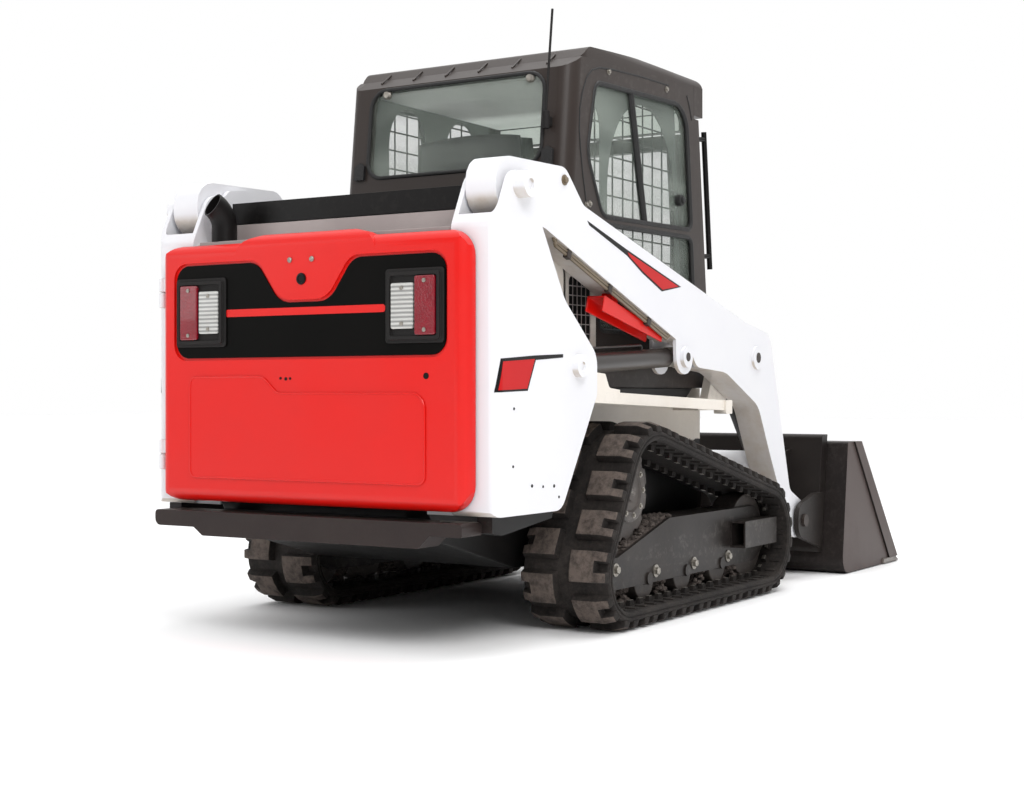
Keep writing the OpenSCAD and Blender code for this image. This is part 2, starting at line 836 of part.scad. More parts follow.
module gate_form(inset) {
    half = gate_half - inset;
    intersection() {
        slab(gate_side(inset, gate_z1), -gate_half, gate_half);
        plan_form(rounded([[gate_s + inset, -half, gate_r - inset], [gate_s + gate_d + 2, -half, 0],
                           [gate_s + gate_d + 2, half, 0], [gate_s + inset, half, gate_r - inset]], 8), 390, 1200);
        rear_form(rounded([[-half, gate_z0 + inset, 75 - inset], [half, gate_z0 + inset, 75 - inset],
                           [half, gate_z1 - inset, 75 - inset], [-half, gate_z1 - inset, 75 - inset]], 8),
                  gate_s - 1, gate_s + gate_d + 1.5);
    }
}

// Outline of the band, dipping under the lock's tongue; the recess round it is a little larger
function band_line(grow) =
    let (half = gate_half - 68 + grow)
    rounded([[-half, 831 - grow, 48], [half, 831 - grow, 48], [half, 1112 + grow, 48], [178 - grow, 1112 + grow, 60],
             [92 - grow, 990 + grow, 78], [-92 + grow, 990 + grow, 78], [-178 + grow, 1112 + grow, 60],
             [-half, 1112 + grow, 48]], 6);

module tailgate() {
    color(orange_red)
        difference() {
            union() {
                gate_form(0);
                intersection() {
                    slab(gate_side(0, gate_z1 + hump_h), -300, 300);
                    rear_form(rounded([[-260, 1100, 0], [260, 1100, 0], [260, gate_z1 - 2, 60], [165, gate_z1 + hump_h, 90],
                                       [-165, gate_z1 + hump_h, 90], [-260, gate_z1 - 2, 60]]),
                              gate_s - 1, gate_s + gate_d);
                }
                rear_form(rounded([[-430, 472, 22], [436, 472, 22], [436, 774, 22], [152, 774, 40], [96, 725, 40],
                                   [-430, 725, 45]], 6), gate_s - 3, gate_s + 2);
            }
            difference() {
                gate_form(gate_t);
                block(gate_s, gate_s + band_in + gate_t, -gate_half + 40, gate_half - 40, 800, 1140);
            }
            rear_form(band_line(7), gate_s - 5, gate_s + band_in);
        }
}

// Hinge straps that swing with the tailgate
module gate_straps() {
    color(white_paint)
        for (z = [540, 1040])
            difference() {
                union() {
                    block(gate_hinge[0] - 7, gate_hinge[0] + 7, gate_half, gate_hinge[1], z, z + 40);
                    translate([gate_hinge[0] - overall_l / 2, gate_hinge[1], z])
                        cylinder(h = 40, r = 12);
                }
                translate([gate_hinge[0] - overall_l / 2, gate_hinge[1], z - 1])
                    cylinder(h = 42, r = 7 + pin_gap);
            }
}

// Fixed hinge brackets and pins of the tailgate
module gate_hinges() {
    color(white_paint)
        for (z = [490, 990]) {
            block(gate_hinge[0], 75, gate_hinge[1] - 11, gate_hinge[1] + 11, z, z + 46);
            translate([gate_hinge[0] - overall_l / 2, gate_hinge[1], z])
                cylinder(h = 46, r = 12);
            translate([gate_hinge[0] - overall_l / 2, gate_hinge[1], z])
                cylinder(h = 92, r = 7);
        }
}

// Black band in the tailgate's recess
module gate_band() {
    color(black_sheet)
        rear_form(band_line(0), gate_s + band_in - 4, gate_s + band_in);
}

// Tail lamps: a stepped housing round a tall red lens outside and a white lens inside
lamp_s = gate_s + band_in - 4;

module lamp_housings() {
    color(charcoal)
        both_sides()
            difference() {
                union() {
                    rear_form(rounded([[296, 864, 10], [494, 864, 10], [494, 1072, 10], [296, 1072, 10]]), lamp_s - 6, lamp_s);
                    rear_form(rounded([[306, 874, 8], [484, 874, 8], [484, 1062, 8], [306, 1062, 8]]), lamp_s - 14, lamp_s - 5);
                }
                rear_form(rounded([[316, 884, 6], [474, 884, 6], [474, 1052, 6], [316, 1052, 6]]), lamp_s - 15, lamp_s - 6);
            }
}

module red_lenses() {
    color(lens_red)
        both_sides()
            rear_form(rounded([[402, 886, 6], [470, 886, 6], [470, 1050, 6], [402, 1050, 6]]), lamp_s - 17, lamp_s - 6);
}

module white_lenses() {
    color(lens_white)
        both_sides()
            rear_form(rounded([[320, 904, 6], [396, 904, 6], [396, 1032, 6], [320, 1032, 6]]), lamp_s - 15, lamp_s - 6);
}

// Lift arm: a bent box section with bosses at its pins and a slot for the lift cylinder's eye
arm_line = [[116, 1232, 70], [382, 1203, 80], [1240, 906, 40], [1270, 884, 0], [1344, 884, 0], [1400, 815, 60],
            [1640, 800, 200], [1930, 680, 120], [2045, 490, 120], [2150, 330, 60], [2255, 165, 58],
            [2385, 165, 62], [2385, 292, 58], [2238, 352, 50], [2041, 947, 70], [1810, 985, 60],
            [610, 1290, 60], [500, 1393, 60], [116, 1386, 72]];

module arm_shape() {
    color(white_paint)
        difference() {
            union() {
                slab(rounded(arm_line), arm_in, arm_out);
                slab(rounded([[1240, 912, 0], [1245, 790, 58], [1365, 790, 58], [1370, 860, 0], [1400, 912, 0]]),
                     arm_in, arm_in + 12);
                slab(rounded([[1240, 912, 0], [1245, 790, 58], [1365, 790, 58], [1370, 860, 0], [1400, 912, 0]]),
                     arm_out - 12, arm_out);
                bar(lift_eye, 36, arm_out, arm_out + 14);
                bar(tilt_base, 44, arm_out, arm_out + 10);
                bar(tilt_base, 20, tilt_y - 34, arm_in + 10);
                bar(tilt_base, 29, tilt_y - 34, tilt_y - 28);
                bar(tool_pin, 22, arm_in - 34, arm_out + 34);
            }
            bar(arm_pin, pivot_pin_r + pin_gap, arm_in - 1, arm_out + 1);
            slab([[1200, 760], [1420, 760], [1420, 884], [1344, 900], [1260, 900], [1200, 884]],
                 arm_in + 12, arm_out - 12);
        }
}

module arm_left() {
    arm_shape();
}

module arm_right() {
    right_side()
        arm_shape();
}

module cross_tube() {
    color(white_paint)
        bar(cross_at, cross_r, -arm_in, arm_in);
}

// Arm support: a channel stored against the right arm's underside
under_rear = flat(arm_line[1]);
under_front = flat(arm_line[2]);
function under_arm(s, below) =
    let (run = under_front - under_rear, share = (s - under_rear[0]) / run[0])
    under_rear + run * share + below * [-run[1], run[0]] / -norm(run);

module arm_support() {
    sheet = 6;
    rear_s = 790;
    front_s = 1180;
    color(orange_red)
        right_side() {
            difference() {
                slab([under_arm(rear_s, 34), under_arm(front_s, pin_gap), under_arm(front_s, 33), under_arm(rear_s, 86)],
                     arm_mid - 32, arm_mid + 32);
                slab([under_arm(rear_s - 20, 36 + sheet), under_arm(front_s + 20, pin_gap + sheet - 2),
                      under_arm(front_s + 20, 45), under_arm(rear_s - 20, 105)], arm_mid - 32 + sheet, arm_mid + 32 - sheet);
            }
            slab([under_arm(850, pin_gap), under_arm(890, pin_gap), under_arm(890, 28), under_arm(850, 31)],
                 arm_mid - 20, arm_mid + 20);
        }
}

// Tool carrier with hinge ears and cylinder lugs
function carrier_face(z) = bucket_back(z) - pin_gap;

module tool_carrier() {
    color(charcoal)
        difference() {
            union() {
                difference() {
                    slab(rounded([[2480, 90, 20], [carrier_face(90), 90, 0], [carrier_face(560), 560, 0], [2545, 560, 20]]),
                         -615, 615);
                    both_sides()
                        block(2400, 2700, 70, 380, 190, 470);
                }
                both_sides() {
                    slab(rounded([[2262, 172, 56], [2500, 110, 0], [2530, 330, 0], [2440, 330, 30], [2262, 288, 56]]), arm_in - 26, arm_in - 6);
                    slab(rounded([[2262, 172, 56], [2500, 110, 0], [2530, 330, 0], [2440, 330, 30], [2262, 288, 56]]), arm_out + 6, arm_out + 26);
                    slab(rounded([[2272, 345, 52], [2520, 250, 0], [2535, 500, 0], [2272, 455, 52]]), tilt_y - 44, tilt_y - 34);
                    slab(rounded([[2272, 345, 52], [2520, 250, 0], [2535, 500, 0], [2272, 455, 52]]), tilt_y + 34, tilt_y + 44);
                }
            }
            both_sides()
                bar(tool_pin, 22 + pin_gap, arm_in - 40, arm_out + 40);
        }
}

// Bucket: bent shell, side plates with a thick bar along their front edges, and top lip
module bucket() {
    half = bucket_w / 2;
    bar_t = 8;
    plate = half - bar_t;
    side_t = 12;
    top_s = bucket_back(bucket_h) + 140;
    color(bucket_paint) {
        difference() {
            slab(rounded([[bucket_back(lip_z), lip_z, 60], [lip_s, lip_z, 0], [lip_s, lip_z + bucket_t, 0],
                          [top_s, bucket_h - 130, 0], [top_s, bucket_h, 6],
                          [bucket_back(bucket_h), bucket_h, 12]]), -plate, plate);
            slab(rounded([[bucket_back(lip_z) + bucket_t, lip_z + bucket_t, 110], [overall_l + 90, lip_z + bucket_t, 0],
                          [overall_l + 90, bucket_h - 50, 0], [top_s + 20, bucket_h - bucket_t, 0],
                          [bucket_back(bucket_h) + bucket_t, bucket_h - bucket_t, 40]]), -plate + side_t, plate - side_t);
        }
        both_sides() {
            slab([[top_s - 10, lip_z], [lip_s, lip_z], [lip_s, lip_z + lip_t], [overall_l - 17, lip_z + lip_t],
                  [top_s, bucket_h], [top_s - 10, bucket_h]], plate - side_t, plate);
            slab([[top_s - 78, bucket_h], [top_s, bucket_h], [overall_l - 17, lip_z + lip_t],
                  [overall_l - 120, lip_z + lip_t]], plate - 1, half);
        }
    }
}

module cutting_edge() {
    color(steel)
        slab([[lip_s, lip_z], [overall_l, lip_z], [overall_l - 40, lip_z + lip_t], [lip_s, lip_z + lip_t]],
             -bucket_w / 2, bucket_w / 2);
}

// Hydraulic cylinder along +X from its base pin, standing at the given angle
module aimed(at, angle, y) {
    translate([at[0] - overall_l / 2, y, at[1]])
        rotate([0, -angle, 0])
            children();
}

module cross_bar(x, r, w) {
    translate([x, w / 2, 0])
        rotate([90, 0, 0])
            cylinder(h = w, r = r);
}

module barrel(r, bore, rod, eye, pin, end, w) {
    difference() {
        union() {
            rotate([0, 90, 0])
                cylinder(h = end, r = r);
            cross_bar(0, eye, w);
        }
        cross_bar(0, pin + pin_gap, max(w, 2 * r) + 2);
        translate([eye + 8, 0, 0])
            rotate([0, 90, 0])
                cylinder(h = end - eye - 33, r = bore);
        rotate([0, 90, 0])
            translate([0, 0, eye + 8])
                cylinder(h = end, r = rod + pin_gap);
    }
}

module rod(length, reach, r, bore, eye, pin, w) {
    difference() {
        union() {
            translate([reach - length, 0, 0])
                rotate([0, 90, 0])
                    cylinder(h = length - pin, r = r);
            translate([reach - length, 0, 0])
                rotate([0, 90, 0])
                    cylinder(h = 20, r = bore - pin_gap);
            cross_bar(reach, eye, w);
        }
        cross_bar(reach, pin, w + 2);
    }
}

lift_angle = angle_of(lift_eye - lift_base);
lift_l = norm(lift_eye - lift_base);
lift_eye_up = arm_pin + turned(lift_eye - arm_pin, lift_turn);
lift_max = norm(lift_eye_up - lift_base);
lift_end = lift_l - 48;
lift_rod_l = lift_max + 20 - (lift_end - 25);
tilt_angle = angle_of(tilt_eye - tilt_base);
tilt_l = norm(tilt_eye - tilt_base);
tilt_eye_out = tool_pin + turned(tilt_eye - tool_pin, -dump_turn);
tilt_max = norm(tilt_eye_out - tilt_base);
tilt_min = tilt_l - (tilt_max - tilt_l) * curl_turn / dump_turn;
tilt_end = tilt_min - 36;
tilt_rod_l = tilt_max + 20 - (tilt_end - 25);

module lift_barrel_shape() {
    color(charcoal)
        aimed(lift_base, lift_angle, arm_mid)
            barrel(lift_barrel_r, lift_barrel_r - 6, 18.5, 38, 22, lift_end, 50);
}

module lift_rod_shape() {
    color(steel)
        aimed(lift_base, lift_angle, arm_mid)
            rod(lift_rod_l, lift_l, 18.5, lift_barrel_r - 6, 34, 20, 44);
}

module tilt_barrel_shape() {
    color(charcoal)
        aimed(tilt_base, tilt_angle, tilt_y)
            barrel(tilt_barrel_r, tilt_barrel_r - 6, 15, 34, 20, tilt_end, 46);
}

module tilt_rod_shape() {
    color(steel)
        aimed(tilt_base, tilt_angle, tilt_y)
            rod(tilt_rod_l, tilt_l, 15, tilt_barrel_r - 6, 30, 18, 44);
}

module lift_barrel_left() {
    lift_barrel_shape();
}

module lift_barrel_right() {
    right_side()
        lift_barrel_shape();
}

module lift_rod_left() {
    lift_rod_shape();
}

module lift_rod_right() {
    right_side()
        lift_rod_shape();
}

module tilt_barrel_left() {
    tilt_barrel_shape();
}

module tilt_barrel_right() {
    right_side()
        tilt_barrel_shape();
}

module tilt_rod_left() {
    tilt_rod_shape();
}

module tilt_rod_right() {
    right_side()
        tilt_rod_shape();
}

main_frame();
fender_left();
fender_right();
side_trays();
upright_left();
upright_right();
engine();
rear_cover();
rear_grille();
rear_bumper();
exhaust_pipe();
side_screens();
track_frame_left();
track_frame_right();
sprockets();
idlers();
rollers();
track_left();
track_right();
cab_left();
cab_right();
cab_rear();
cab_roof();
cab_front();
cab_floor();
cab_windows();
seat();
controls();
grab_bars();
antenna();
work_lamps();
cab_door();
door_glass();
tailgate();
gate_straps();
gate_hinges();
gate_band();
lamp_housings();
red_lenses();
white_lenses();
arm_left();
arm_right();
cross_tube();
arm_support();
tool_carrier();
bucket();
cutting_edge();
lift_barrel_left();
lift_barrel_right();
lift_rod_left();
lift_rod_right();
tilt_barrel_left();
tilt_barrel_right();
tilt_rod_left();
tilt_rod_right();
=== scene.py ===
import math
import random

import bmesh
import bpy
from mathutils import Matrix, Vector
from mathutils.geometry import tessellate_polygon


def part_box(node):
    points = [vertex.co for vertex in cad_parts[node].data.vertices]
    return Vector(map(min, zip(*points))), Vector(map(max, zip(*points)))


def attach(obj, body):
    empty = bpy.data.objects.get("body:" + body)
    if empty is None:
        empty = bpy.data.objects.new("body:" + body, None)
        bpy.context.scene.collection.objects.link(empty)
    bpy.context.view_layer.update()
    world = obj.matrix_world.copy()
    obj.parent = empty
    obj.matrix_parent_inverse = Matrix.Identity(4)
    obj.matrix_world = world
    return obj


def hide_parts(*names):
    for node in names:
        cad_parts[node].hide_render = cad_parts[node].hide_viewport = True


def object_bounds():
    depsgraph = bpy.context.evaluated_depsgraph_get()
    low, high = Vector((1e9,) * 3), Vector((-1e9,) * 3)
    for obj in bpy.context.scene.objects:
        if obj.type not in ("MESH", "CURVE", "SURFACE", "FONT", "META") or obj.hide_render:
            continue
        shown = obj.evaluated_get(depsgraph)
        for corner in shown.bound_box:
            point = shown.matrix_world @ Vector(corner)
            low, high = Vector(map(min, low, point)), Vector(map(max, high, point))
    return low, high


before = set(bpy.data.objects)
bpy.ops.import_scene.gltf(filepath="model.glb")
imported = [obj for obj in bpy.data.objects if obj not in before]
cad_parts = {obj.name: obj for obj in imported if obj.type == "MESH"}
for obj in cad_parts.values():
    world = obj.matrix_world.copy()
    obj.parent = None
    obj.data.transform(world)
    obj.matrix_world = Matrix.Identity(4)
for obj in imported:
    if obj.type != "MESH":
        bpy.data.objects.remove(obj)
cad_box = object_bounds()

# Studio: a pale seamless floor under a white dome, a broad key light over the right rear corner
# and a weak fill from the left, with the camera standing low behind the machine.
scene = bpy.context.scene
scene.view_settings.view_transform = "Standard"
floor_half = 40.0
camera_at = (-5.2255, -2.976, 0.723)
camera_yaw = 31.86
photo_width = 1024
focal_pixels = 1610.5
sensor = 36.0


def hue(red, green, blue):
    """Linear colour of a finish, given as it looks on a screen from 0 to 255."""
    def linear(value):
        share = value / 255
        return share / 12.92 if share <= 0.04045 else ((share + 0.055) / 1.055) ** 2.4
    return (linear(red), linear(green), linear(blue), 1.0)


def add_node(tree, kind, **values):
    """New shader node; each value goes to the property of that name, or else to that input."""
    made = tree.nodes.new(kind)
    for key, value in values.items():
        if hasattr(made, key):
            setattr(made, key, value)
        else:
            made.inputs[key.replace("_", " ")].default_value = value
    return made


def feed(tree, socket, value):
    """Links another node's socket to this input, or sets a plain value on it."""
    if isinstance(value, bpy.types.NodeSocket):
        tree.links.new(value, socket)
    else:
        socket.default_value = value


def calc(tree, operation, first, second=0.0, clamp=False):
    """One step of arithmetic between two values."""
    made = add_node(tree, "ShaderNodeMath", operation=operation, use_clamp=clamp)
    feed(tree, made.inputs[0], first)
    feed(tree, made.inputs[1], second)
    return made.outputs[0]


def times(tree, first, second, clamp=False):
    """Product of two values."""
    return calc(tree, "MULTIPLY", first, second, clamp)


def span(tree, value, low, high, to_low=0.0, to_high=1.0):
    """Value mapped smoothly from one range to another and held at its ends."""
    made = add_node(tree, "ShaderNodeMapRange", interpolation_type="SMOOTHSTEP")
    for socket, given in zip(made.inputs, (value, low, high, to_low, to_high)):
        feed(tree, socket, given)
    return made.outputs[0]


def mix_value(tree, share, first, second):
    """Number between two others, by a share."""
    made = add_node(tree, "ShaderNodeMix", data_type="FLOAT")
    for socket, given in ((0, share), (2, first), (3, second)):
        feed(tree, made.inputs[socket], given)
    return made.outputs[0]


def mix_colour(tree, share, first, second):
    """Colour between two others, by a share."""
    made = add_node(tree, "ShaderNodeMix", data_type="RGBA")
    for socket, given in ((0, share), (6, first), (7, second)):
        feed(tree, made.inputs[socket], given)
    return made.outputs[2]


def new_material(name):
    """Material with its node tree and Principled shader."""
    material = bpy.data.materials.new(name)
    material.use_nodes = True
    tree = material.node_tree
    return material, tree, tree.nodes["Principled BSDF"].inputs


def mark_place(tree):
    """Coordinate node of the piece itself, so that a finish moves with its piece."""
    made = tree.nodes.new("ShaderNodeTexCoord")
    made.name = "place"
    return made


def axis_of(tree, kind, axis):
    """One axis of a piece's own place, or of the way its surface faces."""
    split = tree.nodes.new("ShaderNodeSeparateXYZ")
    tree.links.new(mark_place(tree).outputs[kind], split.inputs[0])
    return split.outputs[axis]


def lay(tree, kind, place=None, **values):
    """Texture node that lies fixed on the piece, or follows another place."""
    made = add_node(tree, kind, **values)
    tree.links.new(place or tree.nodes["place"].outputs["Object"], made.inputs["Vector"])
    return made


def noise(tree, scale, detail=4.0, rough=0.6, place=None):
    """Cloudy value from 0 to 1."""
    made = lay(tree, "ShaderNodeTexNoise", place, Detail=detail, Roughness=rough)
    feed(tree, made.inputs["Scale"], scale)
    return made.outputs[0]


def flecked(name, scale, first, second, rough, grain=0.0):
    """Material in two mottled colours, with one roughness, or a pair of them spread by a finer grain."""
    material, tree, shader = new_material(name)
    mark_place(tree)
    feed(tree, shader["Base Color"], mix_colour(tree, noise(tree, scale), hue(*first), hue(*second)))
    if grain:
        rough = span(tree, noise(tree, grain), 0.3, 0.7, *rough)
    feed(tree, shader["Roughness"], rough)
    return material, tree, shader


floor_mesh = bpy.data.meshes.new("studio_floor")
floor_corners = [(-1, -1), (1, -1), (1, 1), (-1, 1)]
floor_mesh.from_pydata([(floor_half * x, floor_half * y, 0) for x, y in floor_corners], [], [(0, 1, 2, 3)])
floor_mesh.materials.append(flecked("studio_floor", 0.6, (255, 255, 255), (252, 252, 253), 0.7)[0])
floor = bpy.data.objects.new("studio_floor", floor_mesh)
scene.collection.objects.link(floor)

world = bpy.data.worlds.new("studio_dome")
scene.world = world
world.use_nodes = True
tree = world.node_tree
ahead = calc(tree, "ADD", times(tree, axis_of(tree, "Generated", "X"), math.cos(math.radians(camera_yaw))),
             times(tree, axis_of(tree, "Generated", "Y"), math.sin(math.radians(camera_yaw))))
around = span(tree, ahead, -0.1, 0.7, 0.42, 1.0)
overhead = span(tree, axis_of(tree, "Generated", "Z"), 0.45, 0.95)
dome = mix_value(tree, overhead, around, 1.45)
backdrop = tree.nodes.new("ShaderNodeLightPath").outputs["Is Camera Ray"]
tree.nodes["Background"].inputs["Color"].default_value = (1.0, 1.0, 1.0, 1.0)
feed(tree, tree.nodes["Background"].inputs["Strength"], mix_value(tree, backdrop, dome, 1.0))


def soft_light(name, place, target, size, watts):
    """Round studio lamp turned towards a target."""
    lamp = bpy.data.lights.new(name, "AREA")
    lamp.shape = "DISK"
    lamp.size = size
    lamp.energy = watts
    lit = bpy.data.objects.new(name, lamp)
    lit.location = place
    lit.rotation_euler = (Vector(target) - Vector(place)).to_track_quat("-Z", "Y").to_euler()
    scene.collection.objects.link(lit)


soft_light("key_light", (-4.5, -4.0, 4.6), (-0.4, 0, 0.7), 3.0, 190)
soft_light("fill_light", (-5.0, 4.0, 2.6), (-0.8, 0, 0.8), 3.0, 35)
soft_light("top_light", (0.5, -0.5, 5.5), (0, 0, 0.8), 4.0, 130)

lens = bpy.data.cameras.new("photo_camera")
lens.sensor_width = sensor
lens.lens = focal_pixels / photo_width * sensor
camera = bpy.data.objects.new("photo_camera", lens)
camera.location = camera_at
camera.rotation_euler = (math.radians(90), 0, math.radians(camera_yaw - 90))
scene.collection.objects.link(camera)
scene.camera = camera

# Tub and fender rails: bent and welded steel plate between the tracks, with the engine-bay sides,
# sprayed in a warm cream that collects dust low down, and painted near black below a set height
# as painted shade for the shadowed underbody.
rear = cad_box[0].x
steel_grey = (150, 146, 140)
dry_dust = hue(128, 118, 110)
sharp_angle = math.radians(34)
underbody_shade_top = 0.555
underbody_shade_edge = 0.003


def new_group(name, inputs, outputs):
    """Shader node group with number inputs and outputs, ready to be filled."""
    made = bpy.data.node_groups.new(name, "ShaderNodeTree")
    for label, value in inputs.items():
        socket = made.interface.new_socket(label, in_out="INPUT", socket_type="NodeSocketFloat")
        socket.default_value = value
    for label in outputs:
        made.interface.new_socket(label, in_out="OUTPUT", socket_type="NodeSocketFloat")
    given = made.nodes.new("NodeGroupInput").outputs
    result = made.nodes.new("NodeGroupOutput").inputs
    mark_place(made)
    return made, given, result


film_group, given, result = new_group("paint_film", {"Peel Scale": 140.0}, ["Mottle", "Peel"])
feed(film_group, result["Mottle"], span(film_group, noise(film_group, 3.1), 0.35, 0.68))
feed(film_group, result["Peel"], noise(film_group, given["Peel Scale"], 2.0))

dust_group, given, result = new_group("dust_cover", {"Amount": 0.3, "Low": 0.2, "High": 1.2}, ["Mask"])
low_down = span(dust_group, axis_of(dust_group, "Object", "Z"), given["Low"], given["High"], 1.0, 0.0)
lying = span(dust_group, axis_of(dust_group, "Normal", "Z"), 0.5, 1.0, 0.0, 0.55)
patches = span(dust_group, noise(dust_group, 7.0, 8.0, 0.72), 0.38, 0.72)
specks = span(dust_group, noise(dust_group, 90.0, 6.0, 0.7), 0.42, 0.66)
broken = calc(dust_group, "ADD", times(dust_group, patches, 0.65), times(dust_group, specks, 0.35))
covered = times(dust_group, calc(dust_group, "ADD", low_down, lying), broken)
feed(dust_group, result["Mask"], times(dust_group, covered, given["Amount"], clamp=True))

wear_group, given, result = new_group("edge_wear", {"Amount": 0.3}, ["Mask"])
corner = wear_group.nodes.new("ShaderNodeNewGeometry").outputs["Pointiness"]
worn = span(wear_group, corner, 0.53, 0.60)
chipped = span(wear_group, noise(wear_group, 38.0, 8.0, 0.75), 0.50, 0.62)
feed(wear_group, result["Mask"],
     times(wear_group, times(wear_group, worn, chipped), given["Amount"], clamp=True))


def use_group(tree, group, **values):
    """Places a shared effect in a material with that material's own values."""
    made = tree.nodes.new("ShaderNodeGroup")
    made.node_tree = group
    for key, value in values.items():
        made.inputs[key.replace("_", " ")].default_value = value
    return made.outputs


def bump(tree, shader, height, depth, strength=1.0):
    """Fine relief that is too small for the mesh."""
    made = add_node(tree, "ShaderNodeBump", Strength=strength, Distance=depth)
    tree.links.new(height, made.inputs["Height"])
    tree.links.new(made.outputs["Normal"], shader["Normal"])


def paint(name, colour, shade, roughness=0.34, dust=0.1, dust_high=0.9, wear=0.2, bare=steel_grey, shine=0.5):
    """Sprayed paint: faint mottle and orange peel, dust that settles low, and chips along edges."""
    material, tree, shader = new_material(name)
    film = use_group(tree, film_group)
    dusty = use_group(tree, dust_group, Amount=dust, Low=0.1, High=dust_high)["Mask"]
    chips = use_group(tree, wear_group, Amount=wear)["Mask"]
    sprayed = mix_colour(tree, film["Mottle"], hue(*colour), hue(*shade))
    dulled = mix_colour(tree, dusty, sprayed, dry_dust)
    feed(tree, shader["Base Color"], mix_colour(tree, chips, dulled, hue(*bare)))
    gloss = span(tree, film["Mottle"], 0.0, 1.0, roughness - 0.03, roughness + 0.04)
    feed(tree, shader["Roughness"], calc(tree, "ADD", gloss, times(tree, dusty, 0.4), clamp=True))
    shader["Specular IOR Level"].default_value = shine
    bump(tree, shader, film["Peel"], 0.0002, 0.15)
    return material


def coat(material, mask, colour):
    """Lays a colour over a material's own, where the mask is up."""
    tree = material.node_tree
    base = tree.nodes["Principled BSDF"].inputs["Base Color"]
    feed(tree, base, mix_colour(tree, mask, base.links[0].from_socket, hue(*colour)))


def soften(piece, edge, steps=2):
    """Rounds a piece's sharp edges and evens its shading, or keeps the edges crisp if no size is given."""
    piece.data.shade_smooth()
    if not edge:
        crisp = piece.modifiers.new("crisp_edges", "EDGE_SPLIT")
        crisp.split_angle = sharp_angle
        return
    broken_edge = piece.modifiers.new("broken_edges", "BEVEL")
    broken_edge.width = edge
    broken_edge.segments = steps
    broken_edge.limit_method = "ANGLE"
    broken_edge.angle_limit = sharp_angle
    broken_edge.use_clamp_overlap = True
    even = piece.modifiers.new("even_shading", "WEIGHTED_NORMAL")
    even.weight = 60


def finish_node(name, material, edge=0.003, steps=2):
    """Gives a solid its finish and breaks its sharp edges, with its own shape left as it is."""
    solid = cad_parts[name]
    for holder in solid.material_slots:
        holder.material = material
    weld = solid.modifiers.new("joined_faces", "WELD")
    weld.merge_threshold = 0.00002
    flat = solid.modifiers.new("flat_faces", "DECIMATE")
    flat.decimate_type = "DISSOLVE"
    flat.angle_limit = math.radians(0.6)
    soften(solid, edge, steps)


cream = paint("cream_paint", (229, 222, 212), (221, 213, 202), 0.38, dust=0.25, dust_high=1.0)
tree = cream.node_tree
height = axis_of(tree, "Object", "Z")
level = calc(tree, "ADD", height, span(tree, noise(tree, 40.0), 0.3, 0.7, -0.004, 0.004))
# Painted shade: below that height, along a slightly ragged line, the cream turns near black.
coat(cream, span(tree, level, underbody_shade_top - underbody_shade_edge, underbody_shade_top + underbody_shade_edge, 1.0, 0.0), (12, 11, 11))
for part in ("main_frame", "fender_left", "fender_right"):
    finish_node(part, cream)

# Uprights: two laser-cut cheek plates a side, bent at the back, welded to the tub and sprayed white.
# A red vinyl block with black edges is stuck on each outer cheek, above a few small open holes,
# which are drawn as black discs of painted shade.
white = paint("white_paint", (224, 224, 227), (222, 222, 226), 0.34, dust=0.02, dust_high=0.5, wear=0.0)
tree = white.node_tree
# Painted shade and bounce light, partly grime: downward faces get a warm beige tint, mottled by noise.
underside = span(tree, axis_of(tree, "Normal", "Z"), -0.15, -0.5, 0.0, 0.75)
grime_and_shade_mottle = span(tree, noise(tree, 9.0, 8.0, 0.7), 0.3, 0.75, 0.5, 1.0)
coat(white, times(tree, underside, grime_and_shade_mottle), (176, 158, 134))
both_sides = (("left", 1), ("right", -1))
for name, sign in both_sides:
    finish_node(f"upright_{name}", white, 0.004, 3)
upright_face = 0.630
corner_from = 105
corner_radius = 30
film_thick = 0.0006
film_steps = 40


def side(station, height):
    """Place in the side view, in metres, from millimetres forward of the bumper's back and up."""
    return rear + station / 1000, height / 1000


def at(station, height, y):
    """Point of the side view set at a distance from the middle."""
    x, z = side(station, height)
    return x, y, z


def new_piece(name, form, finish, body, edge=None):
    """Puts a form into the scene as a piece that moves with its body, its edges softened if given."""
    bmesh.ops.recalc_face_normals(form, faces=form.faces)
    mesh = bpy.data.meshes.new(name)
    form.to_mesh(mesh)
    form.free()
    for material in finish if isinstance(finish, tuple) else (finish,):
        mesh.materials.append(material)
    piece = bpy.data.objects.new(name, mesh)
    scene.collection.objects.link(piece)
    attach(piece, body)
    if edge is not None:
        soften(piece, edge)
    return piece


def bridge(form, rings, closed=False):
    """Faces between each ring of corners and the next, and from the last to the first if closed."""
    made = []
    for ring, following in zip(rings, rings[1:] + rings[:1] if closed else rings[1:]):
        for i in range(len(ring)):
            j = (i + 1) % len(ring)
            made.append(form.faces.new((ring[i], ring[j], following[j], following[i])))
    return made


def add_prism(form, near, far):
    """Closed solid between two matching outlines of 3-D points."""
    ends = [[form.verts.new(p) for p in outline] for outline in (near, far)]
    form.faces.new(ends[0])
    form.faces.new(ends[1])
    bridge(form, ends)


def add_side_plate(form, outline, inner, outer):
    """Plate of a side-view outline in stations and heights, between two distances from the middle."""
    add_prism(form, [at(s, z, inner) for s, z in outline], [at(s, z, outer) for s, z in outline])


def vinyl(name, colour, shade):
    """Stick-on vinyl film: an even colour with a faint grain and a soft gloss."""
    material, tree, shader = new_material(name)
    film = use_group(tree, film_group, Peel_Scale=260.0)
    dusty = use_group(tree, dust_group, Amount=0.05, Low=0.1, High=0.9)["Mask"]
    printed = mix_colour(tree, film["Mottle"], hue(*colour), hue(*shade))
    feed(tree, shader["Base Color"], mix_colour(tree, dusty, printed, dry_dust))
    feed(tree, shader["Roughness"], span(tree, film["Mottle"], 0.0, 1.0, 0.3, 0.38))
    shader["Specular IOR Level"].default_value = 0.2
    bump(tree, shader, film["Peel"], 0.0001, 0.3)
    return material


